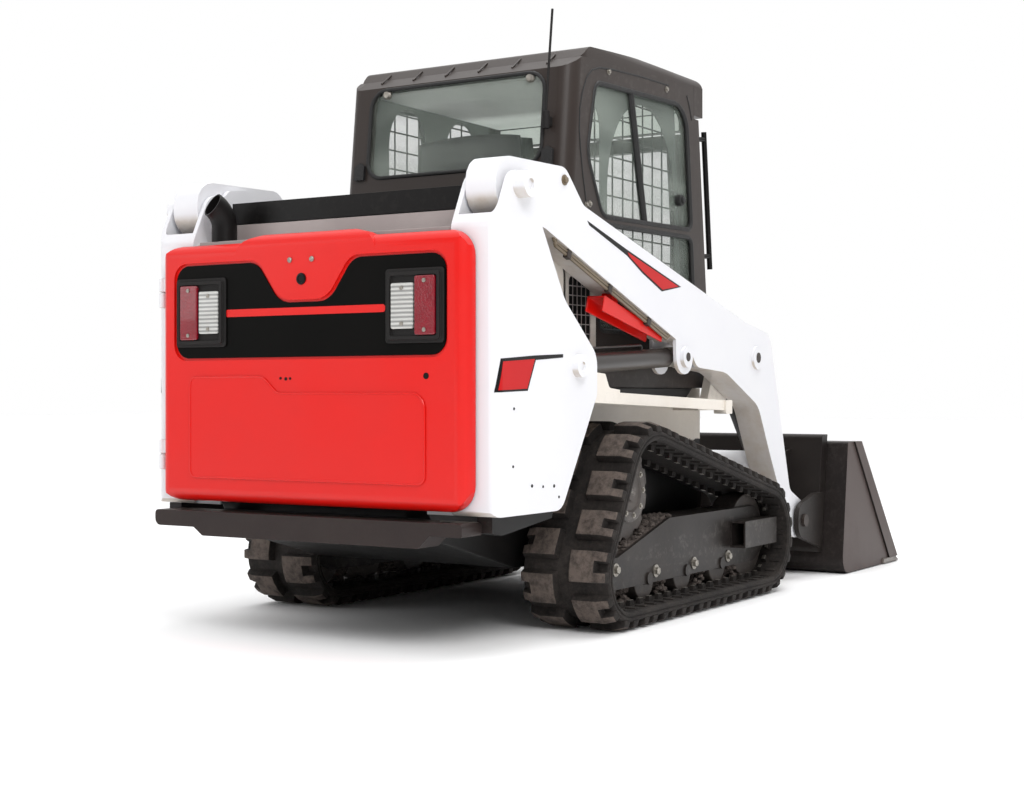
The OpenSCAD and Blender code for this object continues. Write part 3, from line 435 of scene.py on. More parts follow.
def on_upright(sign, station, height, lift):
    """Point on an upright's outer cheek, which bends round its rear corner, raised by a film's thickness."""
    if station >= corner_from:
        return at(station, height, sign * (upright_face + lift))
    angle = (corner_from - station) / corner_radius
    reach = corner_radius / 1000 + lift
    x, z = side(corner_from, height)
    y = upright_face - corner_radius / 1000 + reach * math.cos(angle)
    return x - reach * math.sin(angle), sign * y, z


def height_on(line, station):
    """Height of a line of points at a station."""
    for (s0, z0), (s1, z1) in zip(line, line[1:]):
        if s0 <= station <= s1:
            return z0 + (z1 - z0) * (station - s0) / max(s1 - s0, 0.001)
    return line[-1][1]


def add_film(form, sign, low, high, lift):
    """Thin stick-on film between a lower and an upper line, laid on an upright's cheek."""
    start, end = low[0][0], low[-1][0]
    stations = {start + (end - start) * n / film_steps for n in range(film_steps + 1)}
    columns = []
    for station in sorted(stations | {p[0] for p in low + high}):
        z0, z1 = height_on(low, station), height_on(high, station)
        corners = ((z0, lift), (z1, lift), (z1, lift + film_thick), (z0, lift + film_thick))
        columns.append([form.verts.new(on_upright(sign, station, z, out)) for z, out in corners])
    bridge(form, columns)
    bmesh.ops.remove_doubles(form, verts=form.verts[:], dist=0.00001)


def add_ring(form, middle, radius, across, upward, sides):
    """Circle of new corners."""
    turn = [2 * math.pi * i / sides for i in range(sides)]
    return [form.verts.new(middle + radius * (math.cos(a) * across + math.sin(a) * upward)) for a in turn]


def add_turned(form, centre, axis, profile, sides=24):
    """Turned form about an axis; the profile lists radius and distance along the axis."""
    along = Vector(axis).normalized()
    across = along.orthogonal().normalized()
    upward = along.cross(across)
    rings = []
    for radius, distance in profile:
        middle = Vector(centre) + along * distance
        if radius == 0:
            rings.append([form.verts.new(middle)])
        else:
            rings.append(add_ring(form, middle, radius, across, upward, sides))
    for ring, following in zip(rings, rings[1:]):
        for i in range(sides):
            j = (i + 1) % sides
            corners = [ring[i % len(ring)], ring[j % len(ring)]]
            corners += [following[j % len(following)], following[i % len(following)]]
            form.faces.new(list(dict.fromkeys(corners)))


def add_disc(form, centre, axis, radius, thick=0.0012):
    """Flat round cap, such as a dark disc of painted shade in the mouth of a small hole."""
    add_turned(form, centre, axis, [(0, 0), (radius, 0), (radius, thick), (0, thick)])


red_vinyl = vinyl("red_vinyl", (194, 20, 22), (184, 16, 19))
black_vinyl = vinyl("black_vinyl", (9, 8, 9), (13, 12, 12))
stripe_edge = [(76, 727), (236, 732), (280, 819), (434, 829)], [(76, 727), (96, 820), (276, 832), (434, 839)]
stripe_block = [(88, 733), (232, 738), (274, 822)], [(88, 733), (106, 812), (274, 822)]
hole_shade_discs = [(163, 682, 4), (158, 522, 4), (259, 464, 5), (320, 459, 4), (382, 458, 5), (410, 425, 4)]
for name, sign in both_sides:
    form = bmesh.new()
    add_film(form, sign, *stripe_edge, 0.0)
    new_piece(f"upright_stripe_edge_{name}", form, black_vinyl, "chassis")
    form = bmesh.new()
    add_film(form, sign, *stripe_block, film_thick)
    new_piece(f"upright_stripe_{name}", form, red_vinyl, "chassis")
    form = bmesh.new()
    # Painted shade: black discs in the mouths of the open holes.
    for station, height, radius in hole_shade_discs:
        add_disc(form, at(station, height, sign * upright_face), (0, sign, 0), radius / 1000)
    new_piece(f"upright_holes_{name}", form, black_vinyl, "chassis")

# Engine block, black mesh in the bay's sides, rear cover, louvred black lid and the exhaust
# elbow: cast, punched and bent steel, painted or sooted. The rear cover's white paint lies in shadow
# and is painted grey as painted shade. Black trays close the gap under the cab.
charcoal = paint("charcoal_paint", (50, 43, 40), (54, 47, 44), 0.4,
                 dust=0.05, dust_high=0.6, wear=0.05, shine=0.24)
black_sheet = paint("black_sheet", (9, 8, 8), (13, 11, 11), 0.36,
                    dust=0.02, dust_high=0.6, wear=0.02, shine=0.2)
grey_paint = paint("grey_paint", (166, 156, 154), (156, 146, 144), 0.36, dust=0.1)
finish_node("engine", paint("engine_paint", (34, 34, 35), (44, 43, 42), 0.6, dust=0.3, dust_high=1.2))
finish_node("side_screens", black_sheet, 0)
# Painted shade: the rear cover, white paint lying in shadow, is given this grey.
finish_node("rear_cover", grey_paint)
finish_node("side_trays", black_sheet, 0.004)
finish_node("rear_grille", black_sheet, 0.002)
finish_node("exhaust_pipe", black_sheet, 0)

# Bumper: a thick bent bar in charcoal paint, bolted across the back of the tub on two brackets.
# The skirts behind its ends are painted near black.
bumper_paint = paint("bumper_paint", (42, 34, 33), (46, 38, 36), 0.34,
                     dust=0.05, dust_high=0.6, wear=0.08, shine=0.2)
skirt_from = rear + 0.099
tree = bumper_paint.node_tree
# The bumper is painted near black behind skirt_from, on the skirts.
skirt = span(tree, axis_of(tree, "Object", "X"), skirt_from - 0.001, skirt_from + 0.001)
coat(bumper_paint, skirt, (14, 12, 12))
finish_node("rear_bumper", bumper_paint, 0.004, 3)

# Running gear: welded track frames in charcoal paint, bolted to the tub, with cast wheels and steel
# sprockets that the track has worn. Soil lies on the frames and is packed between the rollers.
scuffed_steel = (170, 165, 158)
iron = paint("worn_iron", (52, 47, 45), (64, 58, 55), 0.5,
             dust=0.35, dust_high=0.9, wear=0.5, bare=scuffed_steel)
frame_paint = paint("frame_paint", (33, 29, 28), (38, 34, 32), 0.4,
                    dust=0.12, dust_high=0.5, wear=0.1, shine=0.2)
for part in ("track_frame_left", "track_frame_right"):
    finish_node(part, frame_paint, 0.004, 3)
for part in ("sprockets", "idlers", "rollers"):
    finish_node(part, iron, 0.004)
zinc, tree, shader = flecked("zinc_bolts", 60.0, (176, 172, 164), (120, 114, 106), (0.3, 0.55), 140.0)
shader["Metallic"].default_value = 0.85
soil, tree, shader = new_material("dry_soil")
mark_place(tree)
clods = noise(tree, 60.0, 9.0, 0.72)
dried = span(tree, clods, 0.3, 0.7)
feed(tree, shader["Base Color"], mix_colour(tree, dried, hue(52, 45, 42), hue(104, 94, 88)))
feed(tree, shader["Roughness"], span(tree, clods, 0.3, 0.7, 0.85, 0.98))
bump(tree, shader, clods, 0.004, 0.8)
track_low, track_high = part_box("track_left")
track_mid = (track_low.y + track_high.y) / 2
sprocket_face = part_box("sprockets")[1].y
cheek_face = track_mid + 0.062
bolt_marks = [(782, 178), (1057, 150), (1343, 150), (1621, 150)]
hub_s, hub_z = 906, 415
hub_bolts = 9
hub_circle = 78
hub_profile = [(0, -0.004), (0.098, -0.004), (0.098, 0.006), (0.090, 0.010), (0.066, 0.010), (0.060, 0.004),
               (0.034, 0.004), (0.030, 0.012), (0, 0.012)]
rubble = random.Random(5)
heap_from, heap_to = (864, 236), (1160, 317)
heap_rows, heap_columns = 28, 11
heap_half = 0.049
heap_deep = 0.02
heap_stones = 120
stone_spread = 0.042
packed_at = (885, 1150, 1430, 1690)
packed_low, packed_high = 62, 128
packed_stones = 60


def add_bolt(form, centre, axis, radius):
    """Hexagon bolt head on a washer."""
    washer = radius * 0.3
    add_disc(form, centre, axis, radius * 1.6, washer)
    top = radius * 1.1
    head = [(0, washer), (radius, washer), (radius, radius * 0.95), (radius * 0.86, top), (0, top)]
    add_turned(form, centre, axis, head, 6)


def thicken(form, faces, offset):
    """Gives a sheet of faces a thickness by drawing a copy of it away."""
    drawn = bmesh.ops.extrude_face_region(form, geom=faces)["geom"]
    bmesh.ops.translate(form, vec=offset, verts=[v for v in drawn if isinstance(v, bmesh.types.BMVert)])


def on_heap(share):
    """Station and height along the heap's sloping top."""
    return [low + (high - low) * share for low, high in zip(heap_from, heap_to)]


def stone_shape():
    """Uneven stretch of a lump of soil."""
    return Matrix.Diagonal((rubble.uniform(0.8, 1.5), rubble.uniform(0.8, 1.3), rubble.uniform(0.6, 1.0), 1))


def add_stone(form, place, radius, shape):
    """Lump of soil."""
    bmesh.ops.create_icosphere(form, subdivisions=1, radius=radius, matrix=Matrix.Translation(place) @ shape)


for name, sign in both_sides:
    outward = (0, sign, 0)
    form = bmesh.new()
    add_turned(form, at(hub_s, hub_z, sign * sprocket_face), outward, hub_profile, 48)
    new_piece(f"sprocket_hub_{name}", form, iron, "chassis", 0)
    form = bmesh.new()
    for n in range(hub_bolts):
        angle = 2 * math.pi * n / hub_bolts
        station, height = hub_s + hub_circle * math.cos(angle), hub_z + hub_circle * math.sin(angle)
        add_bolt(form, at(station, height, sign * (sprocket_face + 0.009)), outward, 0.006)
    new_piece(f"sprocket_bolts_{name}", form, zinc, "chassis")
    form = bmesh.new()
    for station, height in bolt_marks:
        add_bolt(form, at(station, height, sign * cheek_face), outward, 0.013)
    new_piece(f"track_frame_bolts_{name}", form, zinc, "chassis")
    form = bmesh.new()
    rows = []
    for n in range(heap_rows):
        station, top = on_heap(n / (heap_rows - 1))
        rows.append([])
        for m in range(heap_columns):
            across = 2 * m / (heap_columns - 1) - 1
            height = top + rubble.uniform(-7, 6) - 5 * across ** 4
            rows[-1].append(form.verts.new(at(station, height, sign * (track_mid + heap_half * across))))
    for row, following in zip(rows, rows[1:]):
        for m in range(heap_columns - 1):
            form.faces.new((row[m], row[m + 1], following[m + 1], following[m]))
    thicken(form, form.faces[:], (0, 0, -heap_deep))
    for n in range(heap_stones):
        station, top = on_heap(rubble.uniform(0.0, 1.25))
        shape = stone_shape()
        radius = rubble.uniform(0.003, 0.011)
        y = sign * (track_mid + rubble.uniform(-stone_spread, stone_spread))
        add_stone(form, at(station, min(top, heap_to[1] - 2) + 3, y), radius, shape)
    for packed in packed_at:
        for n in range(packed_stones):
            height = rubble.uniform(packed_low, packed_high)
            spread = 44 * (1 - (height - packed_low) / 110)
            station = packed + rubble.uniform(-spread, spread)
            shape = stone_shape()
            y = sign * (track_mid + rubble.uniform(-stone_spread, stone_spread))
            add_stone(form, at(station, height, y), rubble.uniform(0.008, 0.017), shape)
    new_piece(f"track_frame_soil_{name}", form, soil, "chassis")

# Rubber tracks: an endless moulded belt with two staggered rows of lugs, steel guide horns and core
# bars inside it. The lug faces are scuffed and dusty, and the belt between them stays dark.
wheels = [(729, 180, 180), (1822, 210, 210), (hub_s, hub_z, 222)]
wheel_at = [Vector(side(s, z)) for s, z, r in wheels]
wheel_over = [r / 1000 for s, z, r in wheels]
lug_height = 0.030
belt_thick = 0.030


def heading(i):
    """Angle of the normal on the straight run from one wheel to the next, and the run's length."""
    j = (i + 1) % 3
    gap = wheel_at[j] - wheel_at[i]
    step = wheel_over[i] - wheel_over[j]
    angle = math.atan2(gap.y, gap.x) - math.acos(step / gap.length)
    return angle, math.sqrt(gap.length_squared - step * step)


run_angle = [heading(i)[0] for i in range(3)]
run_length = [heading(i)[1] for i in range(3)]
bend_angle = [(run_angle[i] - run_angle[i - 1]) % (2 * math.pi) for i in range(3)]
stretches = []
for i in range(3):
    j = (i + 1) % 3
    stretches.append(("run", i, j, run_length[i]))
    stretches.append(("bend", i, j, (wheel_over[j] - lug_height) * bend_angle[j]))
loop_length = sum(stretch[3] for stretch in stretches)


def on_loop(distance, depth, y):
    """Point on the track's loop: a distance round it, a depth below the lug tips, and a width."""
    left = distance % loop_length
    for kind, i, j, length in stretches:
        if left <= length:
            break
        left -= length
    share = left / length
    if kind == "run":
        normal = Vector((math.cos(run_angle[i]), math.sin(run_angle[i])))
        first = wheel_at[i] + (wheel_over[i] - depth) * normal
        last = wheel_at[j] + (wheel_over[j] - depth) * normal
        flat_point = first.lerp(last, share)
    else:
        angle = run_angle[i] + bend_angle[j] * share
        flat_point = wheel_at[j] + (wheel_over[j] - depth) * Vector((math.cos(angle), math.sin(angle)))
    return flat_point.x, y, flat_point.y


lug_count = 26
belt_steps = 156
track_width = track_high.y - track_low.y
pitch = loop_length / lug_count
lug_long = 0.73 * pitch
lug_wide = 0.42 * track_width
slot_long = 0.24 * lug_long
notch_deep = 0.12 * track_width
lug_draft = 0.007
lug_foot = lug_height + 0.003
low_end = 0.4 * lug_height
tip_worn = 0.0008
belt_rim = 0.006
belt_groove = 0.003
horn_off = 0.072
horn_half = 0.008
inside = lug_height + belt_thick


def add_guide(form, middle, half, rise, low, high, draft, face_slot=0):
    """Block moulded into the belt's inner side, narrower at its face, which may have another material."""
    rows = []
    for way in (-1, 1):
        base = middle + way * half
        tip = base - way * draft
        ring = [on_loop(base, inside - 0.002, low), on_loop(base, inside - 0.002, high),
                on_loop(tip, inside + rise, high - draft / 2), on_loop(tip, inside + rise, low + draft / 2)]
        rows.append([form.verts.new(p) for p in ring])
    bridge(form, rows)[2].material_index = face_slot
    form.faces.new(rows[0])
    form.faces.new(rows[1])


def add_lug(form, middle, edge, inward, sign):
    """Lug in one piece: a block with a slot in its outer end, falling away to the belt's edge."""
    half, slot = lug_long / 2, slot_long / 2
    between = (half + slot) / 2
    lean = lug_draft / 2
    foot_along = [-half, -between, -slot, slot, between, half]
    tip_along = [lug_draft - half, -between, -slot - lean, slot + lean, between, half - lug_draft]
    foot_rows = [(0.0, lug_foot), (notch_deep, lug_foot), (lug_wide, lug_foot)]
    tip_rows = [(lean, low_end), (notch_deep + lean, tip_worn), (lug_wide - lean, tip_worn)]
    foot, tip = [[[form.verts.new(on_loop(middle + d, depth, sign * (edge + inward * y))) for d in along]
                  for y, depth in rows] for along, rows in ((foot_along, foot_rows), (tip_along, tip_rows))]
    cells = {(row, column) for row in range(2) for column in range(5)} - {(0, 2)}
    for row, column in cells:
        ring = [(row, column), (row, column + 1), (row + 1, column + 1), (row + 1, column)]
        form.faces.new([tip[r][c] for r, c in ring]).material_index = 1
        form.faces.new([foot[r][c] for r, c in ring[::-1]])
        beside = [(row - 1, column), (row, column + 1), (row + 1, column), (row, column - 1)]
        for n, neighbour in enumerate(beside):
            if neighbour not in cells:
                (r0, c0), (r1, c1) = ring[n], ring[(n + 1) % 4]
                form.faces.new((foot[r0][c0], foot[r1][c1], tip[r1][c1], tip[r0][c0]))


def rubber(name, clean, worn, worn_share, dust):
    """Moulded rubber: fine grain, and dry dust that greys the faces that meet the ground."""
    material, tree, shader = new_material(name)
    mark_place(tree)
    dusty = use_group(tree, dust_group, Amount=dust, Low=0.0, High=1.1)["Mask"]
    scuffed = span(tree, noise(tree, 26.0, 9.0, 0.75), 0.36, 0.62, 0.0, worn_share)
    grain = noise(tree, 420.0, 6.0, 0.7)
    moulded = mix_colour(tree, scuffed, hue(*clean), hue(*worn))
    feed(tree, shader["Base Color"], mix_colour(tree, dusty, moulded, dry_dust))
    feed(tree, shader["Roughness"], span(tree, grain, 0.2, 0.8, 0.68, 0.92))
    shader["Specular IOR Level"].default_value = 0.3
    bump(tree, shader, grain, 0.0008, 0.5)
    return material


belt_rubber = rubber("belt_rubber", (20, 17, 16), (42, 37, 35), 0.4, 0.15)
lug_rubber = rubber("lug_rubber", (50, 43, 40), (98, 87, 80), 0.85, 0.25)
half_section = [(lug_height, belt_rim), (lug_height + belt_rim, 0), (lug_height + 0.011, 0),
                (lug_height + 0.0125, belt_groove), (lug_height + 0.0165, belt_groove),
                (lug_height + 0.018, 0), (inside - belt_rim, 0), (inside, belt_rim)]
section = [(depth, track_high.y - y) for depth, y in half_section]
section += [(depth, track_low.y + y) for depth, y in half_section[::-1]]
for name, sign in both_sides:
    form = bmesh.new()
    rings = []
    for n in range(belt_steps):
        points = [on_loop(loop_length * n / belt_steps, depth, sign * y) for depth, y in section]
        rings.append([form.verts.new(p) for p in points])
    bridge(form, rings, True)
    belt = new_piece(f"track_belt_{name}", form, belt_rubber, "chassis", 0)
    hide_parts(f"track_{name}")
    form = bmesh.new()
    for i in range(lug_count):
        add_lug(form, i * pitch, track_high.y, -1, sign)
        add_lug(form, (i + 0.5) * pitch, track_low.y, 1, sign)
    new_piece(f"track_lugs_{name}", form, (belt_rubber, lug_rubber), "chassis", 0.003)
    form = bmesh.new()
    for i in range(2 * lug_count):
        middle = i * pitch / 2
        for offset in (-horn_off, horn_off):
            horn = sign * (track_mid + offset)
            add_guide(form, middle, 0.014, 0.018, horn - horn_half, horn + horn_half, 0.002, 1)
        core = sorted((sign * (track_high.y - 0.058), sign * (track_high.y - 0.020)))
        add_guide(form, middle, 0.009, 0.005, *core, 0.001)
    new_piece(f"track_guides_{name}", form, (belt_rubber, zinc), "chassis", 0.0015)

# Cab: a welded tube and sheet frame in charcoal paint, bolted to the tub, with tinted panes bonded
# into black rubber, pressed seams and a latch knob on its sides.
for part in ("cab_left", "cab_right", "cab_rear", "cab_roof", "cab_front", "cab_floor", "cab_door"):
    finish_node(part, charcoal, 0.006, 3)
glass, tree, shader = new_material("window_glass")
mark_place(tree)
# Pale streaky veil: partly green tint and film, partly painted sky reflection, thicker at grazing angles.
stretched = lay(tree, "ShaderNodeMapping", Scale=(0.8, 0.8, 3.2), Rotation=(0.12, 0.0, 0.0))
streaks = span(tree, noise(tree, 1.7, 3.0, 0.5, stretched.outputs["Vector"]), 0.3, 0.72)
feed(tree, shader["Base Color"], mix_colour(tree, streaks, hue(122, 132, 124), hue(164, 174, 164)))
feed(tree, shader["Roughness"], span(tree, streaks, 0.0, 1.0, 0.02, 0.06))
grazing = add_node(tree, "ShaderNodeLayerWeight", Blend=0.5).outputs["Facing"]
film_and_reflection_share = span(tree, streaks, 0.0, 1.0, 0.13, 0.24)
feed(tree, shader["Alpha"], span(tree, grazing, 0.45, 1.0, film_and_reflection_share, 0.9))
for part in ("cab_windows", "door_glass"):
    finish_node(part, glass, 0)
arc_steps = 6


def add_tube(form, path, radius, sides=12, closed=False):
    """Round bar or tube swept along a path of points."""
    points = [Vector(p) for p in path]
    count = len(points)
    rings = []
    across = None
    for n, point in enumerate(points):
        before = points[n - 1] if closed or n else point
        after = points[(n + 1) % count] if closed or n < count - 1 else point
        along = (after - before).normalized()
        across = along.orthogonal() if across is None else across - along * across.dot(along)
        across.normalize()
        rings.append(add_ring(form, point, radius, across, along.cross(across), sides))
    if not closed:
        form.faces.new(rings[0])
        form.faces.new(rings[-1])
    bridge(form, rings, closed)


def rounded(corners):
    """Outline of corner points with their own radii, the corners drawn as arcs."""
    outline = []
    count = len(corners)
    for i, (x, y, radius) in enumerate(corners):
        here = Vector((x, y))
        back = (Vector(corners[i - 1][:2]) - here).normalized()
        ahead = (Vector(corners[(i + 1) % count][:2]) - here).normalized()
        half = back.angle(ahead) / 2
        centre = here + (back + ahead).normalized() * radius / math.sin(half)
        first = here + back * radius / math.tan(half) - centre
        sweep = math.pi - 2 * half
        turning = 1 if back.x * ahead.y - back.y * ahead.x < 0 else -1
        for n in range(arc_steps + 1):
            angle = turning * sweep * n / arc_steps
            outline.append((centre.x + first.x * math.cos(angle) - first.y * math.sin(angle),
                            centre.y + first.x * math.sin(angle) + first.y * math.cos(angle)))
    return outline


seal = flecked("rubber_seal", 30.0, (20, 20, 21), (30, 29, 29), (0.5, 0.75), 200.0)[0]
cab_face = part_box("cab_left")[1].y
side_window = [(1015, 1305, 60), (1692, 1318, 30), (1648, 1762, 100), (968, 1738, 45), (912, 1500, 120)]
lower_window = [(985, 930, 40), (1722, 930, 40), (1690, 1290, 30), (1005, 1280, 30)]
divider = [(1331, 1312), (1227, 1748)]
panel_seam = [(915, 1305), (885, 1420), (868, 1508), (860, 1570), (864, 1636), (880, 1690), (908, 1742),
              (944, 1773), (998, 1789), (1090, 1798), (1285, 1808), (1500, 1813)]
visor_seam = [(1648, 1800), (1668, 1767), (1690, 1717)]
knob_at = (1600, 1417)
knob_root = 0.03
cab_bolts = [(1058, 1786), (1486, 1796), (908, 1332), (930, 1337)]
for name, sign in both_sides:
    outward = (0, sign, 0)
    form = bmesh.new()
    for window in (side_window, lower_window):
        add_tube(form, [at(s, z, sign * (cab_face - 0.004)) for s, z in rounded(window)], 0.009, 10, True)
    add_tube(form, [at(s, z, sign * (cab_face - 0.010)) for s, z in divider], 0.013, 10)
    new_piece(f"window_seals_{name}", form, seal, "chassis")
    form = bmesh.new()
    for seam in (panel_seam, visor_seam):
        add_tube(form, [at(s, z, sign * (cab_face - 0.0005)) for s, z in seam], 0.0032, 8)
    for radius, rise in ((0.020, 0.008), (0.012, 0.016)):
        top = knob_root + rise
        knob = [(0, 0), (radius, 0), (radius, top - 0.003), (radius - 0.003, top), (0, top)]
        add_turned(form, at(*knob_at, sign * (cab_face - knob_root)), outward, knob)
    new_piece(f"cab_seams_{name}", form, seal, "chassis")
    form = bmesh.new()
    for station, height in cab_bolts:
        add_bolt(form, at(station, height, sign * (cab_face - 0.0005)), outward, 0.007)
    new_piece(f"cab_bolts_{name}", form, zinc, "chassis")

# Engine-bay screens beside the cab's foot: cream sheet frames round openings with crossed wires,
# screwed on through their edges, and a black sheet behind each opening as painted shade for the dark bay.


def add_sheet(form, outlines, y, thick):
    """Flat sheet in the side view: the first outline is its edge and the others are cut out of it."""
    loops = [[at(s, z, y) for s, z in outline] for outline in outlines]
    corners = [form.verts.new(point) for loop in loops for point in loop]
    faces = [form.faces.new([corners[i] for i in triangle]) for triangle in tessellate_polygon(loops)]
    thicken(form, faces, (0, thick, 0))


screen_edge = rounded([(768, 866, 8), (962, 866, 8), (962, 1118, 8), (768, 1118, 8)])
screen_low, screen_high = (786, 886), (926, 1098)
screen_hole = rounded([(786, 886, 22), (926, 886, 22), (926, 1098, 22), (786, 1098, 22)])
screen_step = 28
screen_rise = 30
screen_wire = 0.0016
for name, sign in both_sides:
    form = bmesh.new()
    add_sheet(form, [screen_edge, screen_hole], sign * (cab_face + 0.0005), sign * 0.004)
    new_piece(f"bay_screen_frame_{name}", form, cream, "chassis")
    form = bmesh.new()
    # Painted shade: a thin black sheet fills each opening behind the wires.
    add_sheet(form, [screen_hole], sign * (cab_face + 0.0004), sign * 0.0006)
    new_piece(f"bay_screen_shade_{name}", form, black_vinyl, "chassis")
    form = bmesh.new()
    y = sign * (cab_face + 0.0025)
    for s in range(screen_low[0] + screen_step, screen_high[0] + 1, screen_step):
        add_tube(form, [at(s, z, y) for z in (screen_low[1], screen_high[1])], screen_wire, 6)
    for z in range(screen_low[1] + screen_rise, screen_high[1] + 1, screen_rise):
        add_tube(form, [at(s, z, y) for s in (screen_low[0], screen_high[0])], screen_wire, 6)
    new_piece(f"bay_screen_wires_{name}", form, grey_paint, "chassis")

# Rear window, roof and lining: a bonded pane in a thin rubber gasket with two bolts and feet at its
# lower corners, pressed ribs along the roof's rear edge, and a pale felt headliner clipped below the
# roof, given a painted glow that grows towards the front to brighten the dim cab inside.
rear_window = [(-345, 1455, 60), (345, 1455, 60), (345, 1758, 60), (-345, 1758, 60)]
gasket_foot = [(352, 1452), (392, 1452), (392, 1500), (372, 1512), (352, 1500)]
rib_count = 6
rib_step = 0.132
rib_first = -0.33
lining_half = 0.385


def on_rear_wall(y, height, out):
    """Point on the cab's leaning rear wall, in millimetres across and up, moved out by some metres."""
    x, z = side(783 + 34 * (height - 1450) / 318, height)
    return x - out, y / 1000, z


form = bmesh.new()
add_tube(form, [on_rear_wall(y, z, 0.0) for y, z in rounded(rear_window)], 0.0065, 10, True)
for sign in (1, -1):
    foot = [on_rear_wall(sign * y, z, 0.0) for y, z in gasket_foot]
    add_prism(form, foot, [(x - 0.012, y, z) for x, y, z in foot])
new_piece("rear_window_seal", form, seal, "chassis", 0)
form = bmesh.new()
for y in (-285, 285):
    cap = [(0, 0), (0.016, 0), (0.016, 0.008), (0.011, 0.014), (0, 0.015)]
    add_turned(form, on_rear_wall(y, 1743, -0.012), (-1, 0, 0), cap)
new_piece("rear_window_bolts", form, zinc, "chassis")
form = bmesh.new()
for n in range(rib_count):
    y = rib_first + rib_step * n
    add_tube(form, [at(848, 1789, y), at(902, 1828, y)], 0.003, 10)
new_piece("roof_ribs", form, charcoal, "chassis", 0)
lining, tree, shader = flecked("cab_lining_painted_glow", 14.0, (232, 234, 230), (220, 222, 218), (0.8, 0.95), 300.0)
# Painted light: the lining glows, barely at the back and most at the front and on the header strip.
shader["Emission Color"].default_value = hue(226, 236, 228)
dark_to, lit_from = side(1380, 0)[0], side(1520, 0)[0]
forward = axis_of(tree, "Object", "X")
feed(tree, shader["Emission Strength"], span(tree, forward, dark_to, lit_from, 0.02, 0.4))
bump(tree, shader, noise(tree, 200.0, 3.0), 0.0006, 0.4)
form = bmesh.new()
ceiling = rounded([(880, 1752, 2), (1690, 1752, 2), (1690, 1760, 2), (880, 1760, 2)])
header = [(1700, 1686), (1704, 1686), (1704, 1750), (1700, 1750)]
for outline in (ceiling, header):
    add_side_plate(form, outline, -lining_half, lining_half)
new_piece("cab_headliner", form, lining, "chassis", 0.002)

# Wire guards behind the side panes: thin grey sheet with two arched openings a side, filled with
# black welded wire, screwed to the inside of the frame.
guard_y = cab_face - 0.044
guard_edge = [(985, 925), (1705, 925), (1672, 1300), (1635, 1765), (905, 1765), (885, 1500), (935, 1290)]
guard_paint = paint("guard_paint", (84, 91, 86), (78, 85, 80), 0.5, dust=0.05, wear=0.0)
arches = {"left": [(983, 1216, 960, 1745), (1336, 1546, 960, 1742)],
          "right": [(930, 1076, 1330, 1690), (1128, 1640, 960, 1728)]}
arch_rise = 1.25
arch_steps = 16
wire_step = 74
wire_rise = 66
wire_radius = 0.003


def arch_outline(s0, s1, z0, z1):
    """Opening with a straight foot and a rounded head, in stations and heights."""
    middle, half = (s0 + s1) / 2, (s1 - s0) / 2
    rise = half * arch_rise
    turn = [math.pi * n / arch_steps for n in range(arch_steps + 1)]
    head = [(middle + half * math.cos(a), z1 - rise + rise * math.sin(a)) for a in turn]
    return [(s0, z0), (s1, z0)] + head


def arch_top(s, s0, s1, z1):
    """Height of an arched opening at a station."""
    middle, half = (s0 + s1) / 2, (s1 - s0) / 2
    return z1 - half * arch_rise * (1 - math.sqrt(max(0.0, 1 - ((s - middle) / half) ** 2)))


def arch_reach(z, s0, s1, z1):
    """Half width of an arched opening at a height."""
    half = (s1 - s0) / 2
    rise = half * arch_rise
    over = max(0.0, z - (z1 - rise)) / rise
    return half * math.sqrt(max(0.0, 1 - over * over))


def marks(low, high, step):
    """Places at even steps between two ends, from half a step in."""
    return [low + step * (n + 0.5) for n in range(math.ceil((high - low) / step - 0.5))]


for name, sign in both_sides:
    y = sign * guard_y
    form = bmesh.new()
    add_sheet(form, [guard_edge] + [arch_outline(*arch) for arch in arches[name]], y, -sign * 0.002)
    new_piece(f"wire_guard_{name}", form, guard_paint, "chassis")
    form = bmesh.new()
    for s0, s1, z0, z1 in arches[name]:
        middle = (s0 + s1) / 2
        for s in marks(s0, s1, wire_step):
            add_tube(form, [at(s, z0, y), at(s, arch_top(s, s0, s1, z1), y)], wire_radius, 6)
        for z in marks(z0, z1, wire_rise):
            reach = arch_reach(z, s0, s1, z1)
            add_tube(form, [at(middle - reach, z, y), at(middle + reach, z, y)], wire_radius, 6)
    new_piece(f"guard_wires_{name}", form, black_sheet, "chassis")

# Seat: a sprung pan with two foam cushions in black vinyl, bolted to a box on the cab floor, and
# moulded consoles with joysticks at its sides.
vinyl_cloth, tree, shader = flecked("seat_vinyl", 5.0, (30, 29, 30), (44, 42, 42), (0.45, 0.62), 12.0)
grain = lay(tree, "ShaderNodeTexVoronoi", Scale=260.0, feature="SMOOTH_F1")
bump(tree, shader, grain.outputs["Distance"], 0.0004, 0.2)
console, tree, shader = flecked("console_plastic", 9.0, (24, 23, 23), (34, 32, 31), (0.5, 0.7), 300.0)
shader["Specular IOR Level"].default_value = 0.2
bump(tree, shader, noise(tree, 650.0, 3.0), 0.0004, 0.6)


def cushion(name, size, tilt, place, channels):
    """Crowned foam pad with sewn channels across it and pulled-in sides."""
    form = bmesh.new()
    bmesh.ops.create_cube(form, size=1.0)
    bmesh.ops.subdivide_edges(form, edges=form.edges[:], cuts=23, use_grid_fill=True)
    wide, deep, thick = size
    for vert in form.verts:
        u, v, w = (2 * c for c in vert.co)
        crown = (1 - u ** 4) * (1 - v ** 4)
        sewn = sum(math.exp(-((v - c) / 0.035) ** 2) for c in channels) * (1 - u ** 8)
        lift = 0.62 + 0.38 * crown - 0.12 * sewn if w > 0 else 1.0
        pull = (1 - 0.05 * (1 - w * w)) * (1 - 0.06 * (u * v) ** 2)
        vert.co = Vector((v * deep / 2 * pull, u * wide / 2 * pull, w * thick / 2 * lift))
    piece = new_piece(name, form, vinyl_cloth, "chassis")
    piece.data.transform(Matrix.Translation(place) @ Matrix.Rotation(math.radians(tilt), 4, "Y"))
    piece.data.shade_smooth()
    return piece


